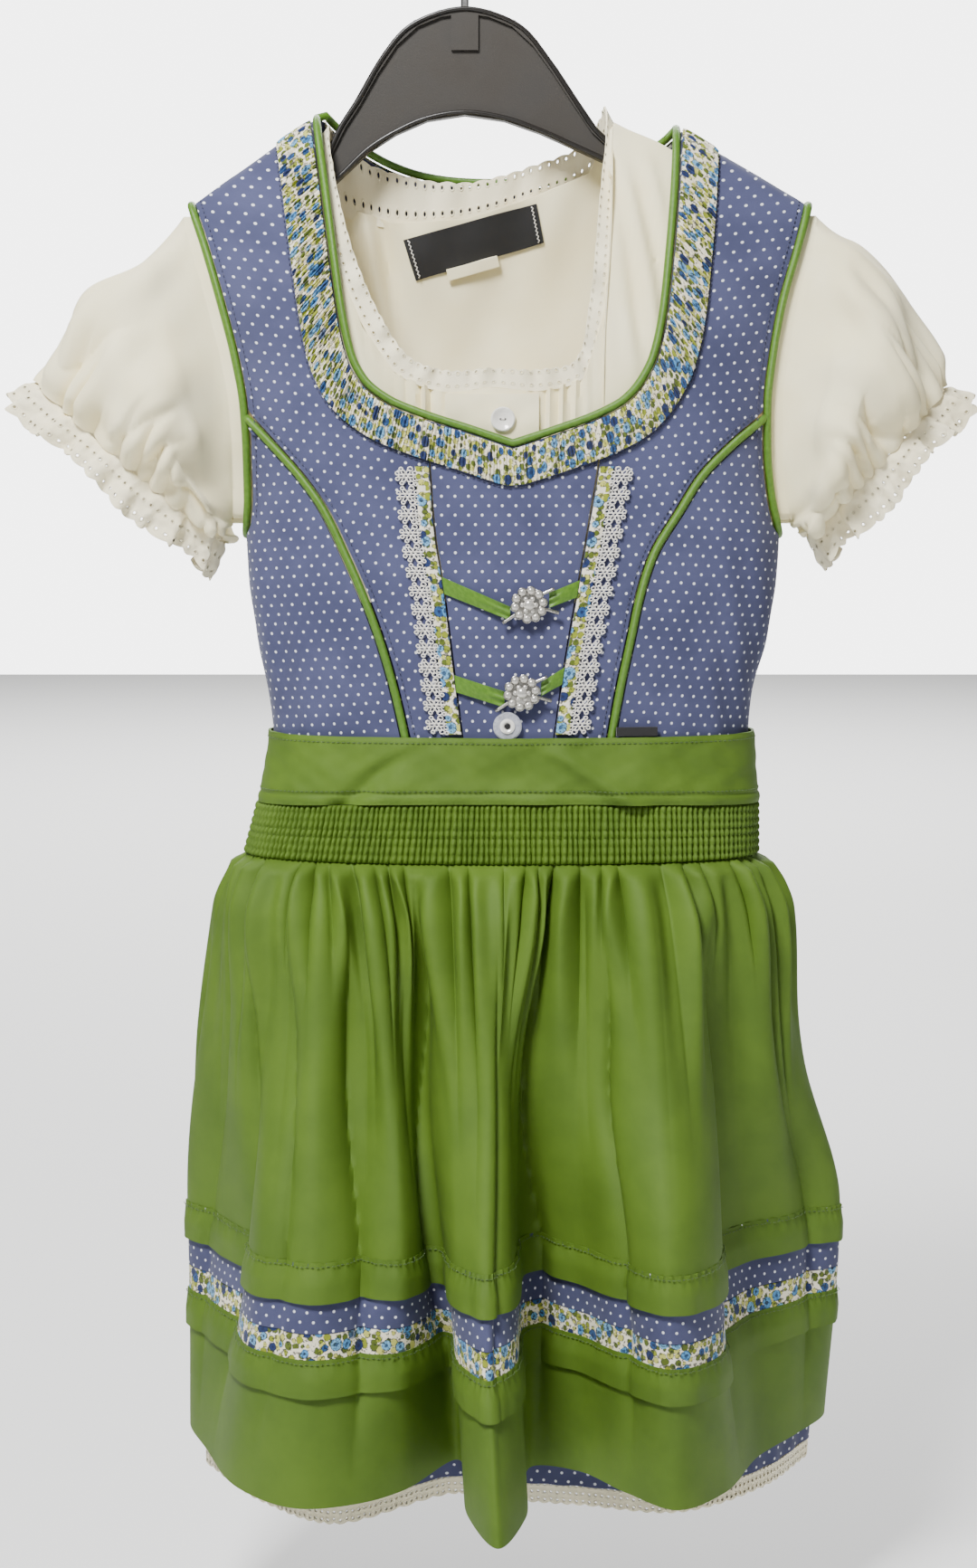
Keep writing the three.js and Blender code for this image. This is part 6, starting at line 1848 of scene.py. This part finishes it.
def make_shirring():
    u, v = grid(*SHIRRED.steps)
    angle = np.radians(apron_drape.angles(share_of_width(u) * apron_drape.last))
    z = lerp(SHIRR_BOTTOM + SEAM, BAND_BOTTOM - band_sag(angle), v)
    wander = ripple(u, (13, 0.35, 0), (31, 0.25, 4 * v))
    rib = np.abs(np.cos(np.pi * SHIRR_RIBS * u + wander)) ** 0.7
    held = puffs(SHIRR_ROWS * v, 0.5)
    lift = SHIRRED.rib * rib * lerp(0.55, 1, held) + SHIRRED.held * held
    outer, inner = band_point(angle, z, lift), band_point(angle, z, np.full_like(u, SHIRRED.inner))
    flat = (u * APRON_WIDTH, v * SHIRRED.flat)
    shirred = wall("apron_shirring_cloth", outer, inner, FINISH.apron, flat)
    dressed(shirred, "apron", "apron_shirring")
    declared(outer, "gathered")


def sewn_flap(seam, waves):
    """A tuck's flap: flush with the cloth above its stitch line, standing off it below, and puckered."""

    def raise_flap(u, z):
        pucker = ripple(u, (waves, 0.35, 0), (2.3 * waves, 0.2, 0))
        away = smooth(seam - z, 0, 10)
        soft = ripple(u, (17, 0.5, 1), (31, 0.4, 0))
        return FLAP_LIFT * lerp(0.15, 1, away) + pucker * smooth(z, seam - 9, seam) + 0.6 * soft * away

    return raise_flap


TUCK_STITCHES = SimpleNamespace(below=1.6, lift=0.7)


def make_apron_cloth():
    upper, lower = sewn_flap(TUCK_SEAM, 95), sewn_flap(FLORAL_SEAM, 90)
    dotted = {"material": FINISH.dotted, "slot": "dotted"}
    floral = {"material": FINISH.floral, "slot": "floral"}
    apron_piece("apron_panel", SHIRR_BOTTOM, TUCK_SEAM - 5, (640, 110))
    apron_piece("apron_tuck_upper", TUCK_SEAM, TUCK_EDGE, (420, 14), detail=upper)
    apron_piece("apron_band_dotted", TUCK_SEAM - SEAM, BAND_SEAM, (420, 12), **dotted)
    apron_piece("apron_band_floral", BAND_SEAM - SEAM, FLORAL_SEAM, (420, 8), **floral)
    apron_piece("apron_tuck_lower", FLORAL_SEAM, LOWER_TUCK_EDGE, (420, 14), detail=lower)
    apron_piece("apron_hem_panel", FLORAL_SEAM - SEAM, APRON_HEM, (420, 30))
    even = np.linspace(0.004, 0.996, 700)[None]
    for seam, flap in ((TUCK_SEAM, upper), (FLORAL_SEAM, lower)):
        z = np.full_like(even, seam - TUCK_STITCHES.below)
        lift = apron_folds(even, z) + flap(even, z) + TUCK_STITCHES.lift
        green_lines.append(apron_drape.at(share_of_width(even), z, lift)[0])


TIE = SimpleNamespace(middle=-14, width=24, narrow=13, stop=179.9, tail=180)
BOW = [(0, 4, 0), (22, 12, 3), (46, 13, -3), (51, 8, -6), (40, 4, -5), (0, 2.5, 0)]


HALF_BOW = 0.6


def both_faces(name, p, n, middle=0.0):
    """A loose wall of cloth on both sides of a grid of points."""
    faces = [p + n * np.asarray(middle + way * HALF_BOW)[..., None] for way in (1, -1)]
    return wall(name, *faces, FINISH.apron)


def bow_loop(side, seat):
    path = spline([(side * x, seat + y, z + TIE.middle) for x, y, z in BOW])
    u, v = grid(60, 12)
    p = path(u)
    along = path(np.clip(u + 0.01, 0, 1)) - path(np.clip(u - 0.01, 0, 1))
    out = unit(points(along[..., 1], -along[..., 0], 0 * u))
    p[..., 2] += (8 + 12 * np.sin(np.pi * u)) * (v - 0.5)
    return both_faces("loop", p, out, ripple(v, (1.5, 0.8, 0.5)) * (1 - np.sin(np.pi * u)))


def bow_tail(side, seat):
    u, v = grid(14, 60)
    wide = lerp(8, TIE.width, smooth(v, 0.1, 0.7))
    p = points(
        side * lerp(2, 30, v) + wide * (u - 0.5),
        seat + 4 + 36 * v + 1.5 * np.sin(7 * v) + 1.2 * np.sin(2 * np.pi * u) * (1 - 0.5 * v),
        TIE.middle - TIE.tail * v + (u - 0.5) * 12 * v * side,
    )
    return both_faces("tail", p, normals(p))


def make_ties():
    start = -APRON_FOLDS[0]["top"] + 0.6
    for name, side in SIDES.items():

        def tie(u, v, side=side):
            share = u if side > 0 else 1 - u
            z = TIE.middle + lerp(TIE.width, TIE.narrow, share**2) * (v - 0.5)
            soft = 0.4 * np.sin(np.pi * 3 * v) * smooth(share, 0.3, 1)
            return band_point(side * np.radians(lerp(start, TIE.stop, share)), z, BAND_LIFT + CLOTH + soft)

        cloth(f"apron_tie_{name}", tie, FINISH.apron, "apron", (80, 18))
    seat = float(torso["back"](TIE.middle)) + BAND_LIFT + CLOTH + SEAM
    parts = [ball("knot", (0, seat + 5, TIE.middle), 6.5, FINISH.apron, 14, 0.75)]
    for side in (-1, 1):
        parts += [bow_loop(side, seat), bow_tail(side, seat)]
    dressed(joined("apron_bow_cloth", parts), "apron", "apron_bow")


back_depth = monotone(*zip(*SKIRT_BACK_DEPTH))


def skirt_inset(z):
    deep = lerp(0.4, 1, smooth(z, -110, -70))
    return SEAM + SKIRT_INSET * smooth(-z, -WAIST_SEAM - 1, 24) * deep


def skirt_front(u, z, lift):
    return skirt_drape.at(u, z, lift - skirt_inset(z))


def skirt_back(u, z, lift):
    flush = np.zeros_like(u)
    right, left = skirt_front(flush + 1, z, flush), skirt_front(flush, z, flush)
    half = (right[..., 0] - left[..., 0]) / 2
    angle = np.pi * (0.5 - u)
    side_y = lerp(right[..., 1], left[..., 1], u)
    low = smooth(-z, 20, 330)
    waves = 2 * (1 - low * 0.5) * (np.cos(2 * np.pi * SKIRT_GATHERS * u) - 1)
    waves = waves + 9 * low * np.cos(2 * np.pi * SKIRT_FOLDS * u + 0.8)
    open_ends = smooth(np.minimum(u, 1 - u), 0.03, 0.15) * smooth(-z, 14, 40)
    s, c = np.sin(angle), np.maximum(np.cos(angle), 0)
    direction = unit(points(s, 2 * c, 0))
    p = points(
        (right[..., 0] + left[..., 0]) / 2 + half * signed_power(s, 2 / ROUNDNESS),
        side_y + SIDE_GAP + (back_depth(z) - side_y) * c ** (2 / ROUNDNESS),
        z,
    )
    return p + direction * (lift + waves * open_ends)[..., None]


def make_skirt():
    top = WAIST_SEAM - 1

    def add(node, made, size):
        u, v = grid(*size)
        z = lerp(float(SKIRT_HEM), float(top), v)
        crease = 0.5 * np.sin(2 * np.pi * 23 * u + 0.01 * z) * smooth(-z, 20, 60)
        outer = made(u, z, crease)
        inner = made(u, z, crease - CLOTH)
        s, _ = flat_lengths(outer)
        obj = wall(f"{node}_cloth", outer, inner, FINISH.dotted, (s, z))
        dressed(obj, "dotted", node)
        declared(outer, "gathered")

    add("skirt_front", skirt_front, (200, 70))
    add("skirt_back", skirt_back, (320, 80))

    u, v = grid(600, 8)
    z = lerp(float(LACE_HEM), float(SKIRT_HEM - SEAM), v)

    def lace(lift):
        p = np.empty(u.shape + (3,))
        half = u[0] < 0.5
        p[:, half] = skirt_front(2 * u[:, half], z[:, half], np.full_like(u[:, half], lift))
        rest = ~half
        p[:, rest] = skirt_back(2 * u[:, rest] - 1, z[:, rest], np.full_like(u[:, rest], lift))
        p[..., 2] -= puffs(HEM_SCALLOPS * u) * (1 - v)
        return p

    obj = wall("skirt_hem_lace_cloth", lace(-0.1), lace(-1.1), FINISH.hem_lace, loop=True)
    dressed(obj, "lace", "skirt_hem_lace")
    declared(lace(-0.1), "hung")


# ---------- Stitches ----------
def stitch_tree():
    """Short thread capsules along the edges of a mesh, a pitch apart."""
    tree = bpy.data.node_groups.new("stitches along lines", "GeometryNodeTree")
    face = tree.interface
    face.new_socket(name="Lines", in_out="INPUT", socket_type="NodeSocketGeometry")
    for name, value in (("Pitch", 0.003), ("Length", 0.002), ("Thickness", 0.0004)):
        face.new_socket(name=name, in_out="INPUT", socket_type="NodeSocketFloat").default_value = value
    face.new_socket(name="Thread", in_out="INPUT", socket_type="NodeSocketMaterial")
    face.new_socket(name="Stitches", in_out="OUTPUT", socket_type="NodeSocketGeometry")
    made = {
        "source": "NodeGroupInput",
        "result": "NodeGroupOutput",
        "curve": "GeometryNodeMeshToCurve",
        "spread": "GeometryNodeCurveToPoints",
        "bead": "GeometryNodeMeshIcoSphere",
        "turn": "FunctionNodeAlignRotationToVector",
        "scale": "ShaderNodeCombineXYZ",
        "beads": "GeometryNodeInstanceOnPoints",
        "real": "GeometryNodeRealizeInstances",
        "paint": "GeometryNodeSetMaterial",
    }
    made = {name: tree.nodes.new(kind) for name, kind in made.items()}
    made["spread"].mode = "LENGTH"
    made["bead"].inputs["Radius"].default_value = 0.5
    made["bead"].inputs["Subdivisions"].default_value = 1
    made["turn"].axis = "Z"
    for start, output, end, socket in (
        ("source", "Lines", "curve", 0),
        ("curve", 0, "spread", "Curve"),
        ("source", "Pitch", "spread", "Length"),
        ("spread", "Points", "beads", "Points"),
        ("spread", "Tangent", "turn", "Vector"),
        ("turn", 0, "beads", "Rotation"),
        ("source", "Thickness", "scale", 0),
        ("source", "Thickness", "scale", 1),
        ("source", "Length", "scale", 2),
        ("scale", 0, "beads", "Scale"),
        ("bead", 0, "beads", "Instance"),
        ("beads", 0, "real", 0),
        ("real", 0, "paint", "Geometry"),
        ("source", "Thread", "paint", "Material"),
        ("paint", 0, "result", 0),
    ):
        tree.links.new(made[start].outputs[output], made[end].inputs[socket])
    return tree


STITCH = SimpleNamespace(pitch=2.4, length=1.7, thickness=0.55)
BLUE = SimpleNamespace(princess=4.4, armhole=4.6, ruffle=1.2, lift=0.45, lift_back=0.1)


def stitches(name, lines, material, slot, tree):
    """Sewn lines over points in the garment's frame."""
    vertices, edges = [], []
    for line in lines:
        start = len(vertices)
        vertices += placed(line).tolist()
        edges += [(i, i + 1) for i in range(start, start + len(line) - 1)]
    mesh = bpy.data.meshes.new(name)
    mesh.from_pydata(vertices, edges, [])
    obj = linked(name, mesh)
    modifier = obj.modifiers.new("stitches", "NODES")
    modifier.node_group = tree
    values = {
        "Pitch": STITCH.pitch / 1000,
        "Length": STITCH.length / 1000,
        "Thickness": STITCH.thickness / 1000,
        "Thread": material,
    }
    for socket in tree.interface.items_tree:
        if socket.in_out == "INPUT" and socket.name in values:
            modifier[socket.identifier] = values[socket.name]
    graph = bpy.context.evaluated_depsgraph_get()
    real = bpy.data.meshes.new_from_object(obj.evaluated_get(graph))
    obj.modifiers.remove(modifier)
    obj.data = real
    real.shade_smooth()
    return dressed(obj, slot)


def make_stitches():
    tree = stitch_tree()
    stitches("apron_stitches", green_lines, FINISH.green_thread_with_pucker_shade, "apron", tree)

    def on_front(line, lift, face=1):
        p = at_torso(line[:, 0], line[:, 1], face, DRESS)
        p[:, 1] -= face * (lift + drag(0, 0, p))
        return p

    blue = []
    even = np.linspace(0, 1, 200)
    for s in seams.values():
        beside = moved(by_length(below(s.princess, 138))(even), -s.side * BLUE.princess)
        round_arm = moved(by_length(above(s.armhole, 98))(even), -s.side * BLUE.armhole)
        blue += [on_front(beside, BLUE.lift), on_front(round_arm, BLUE.lift)]
        blue.append(on_front(round_arm, BLUE.lift_back, face=-1))
    edge = moved(whole_neck, RUFFLE_WIDTH + BLUE.ruffle)
    blue.append(on_front(edge[edge[:, 1] < DRESS.shoulder(edge[:, 0]) - 1], BLUE.lift))
    stitches("bodice_stitches", blue, FINISH.blue_thread_with_pucker_shade, "dotted", tree)


# ---------- Hanger ----------
HANGER_OUTLINE = [
    [
        (-134, 213), (-132, 221), (-118, 231), (-100, 243.5), (-84, 254), (-75, 270), (-67, 282), (-57, 299),
        (-46, 312), (-33, 318.5), (-19.5, 321), (-6, 318.5), (7, 312), (18, 299), (29, 283), (39, 268.5),
        (50, 259.5), (74, 250.5), (100, 236.5), (122, 223), (124, 215),
    ],
    [
        (118, 212), (96, 225.5), (72, 239), (50, 250), (30, 259), (14, 266), (-2, 271.5), (-19.5, 274),
        (-36, 271.5), (-50, 265.5), (-62, 258), (-76, 245), (-94, 232.5), (-116, 218), (-128, 209.5),
    ],
]
HANGER_RIM = SimpleNamespace(face=4, radius=1.1, inset=1.2)


def make_hanger():
    """The moulded body keeps its solid, with a rounded bead added along its raised rim on both faces; the
    bead's darker colour is painted shade.
    """
    outline = np.vstack([spline(part)(np.linspace(0, 1, 160)) for part in HANGER_OUTLINE])
    line = moved(outline, HANGER_RIM.inset)
    beads = []
    for face in (-1, 1):
        path = points(line[:, 0], face * (HANGER_RIM.face - HANGER_RIM.radius * 0.4), line[:, 1])
        beads.append(tube("bead", path, HANGER_RIM.radius, FINISH.hanger_rim_painted_shade, True, 8))
    dressed(joined("hanger_rim_bead", beads), "hanger")
    for node, material in (("hanger_body", FINISH.hanger), ("hanger_hook", FINISH.wire)):
        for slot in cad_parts[node].material_slots:
            slot.material = material


set_camera()
set_world()
set_lights()
set_floor()
make_bodice_centre()
for side_name, side_seams in seams.items():
    make_bodice_front(side_name, side_seams)
    make_bodice_side(side_name, side_seams)
make_bodice_back()
make_piping()
make_ruffle()
make_trims()
make_blouse_body()
make_placket()
for side_name in SIDES:
    make_sleeve(side_name)
make_neck_frill()
make_labels()
make_ribbons()
make_clasps()
make_pearl_button()
make_clear_button()
make_waistband()
make_shirring()
make_apron_cloth()
make_ties()
make_skirt()
make_stitches()
make_hanger()

boxes = {"cad": cad_box, "visual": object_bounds()}
{key: [list(map(float, corner)) for corner in box] for key, box in boxes.items()}
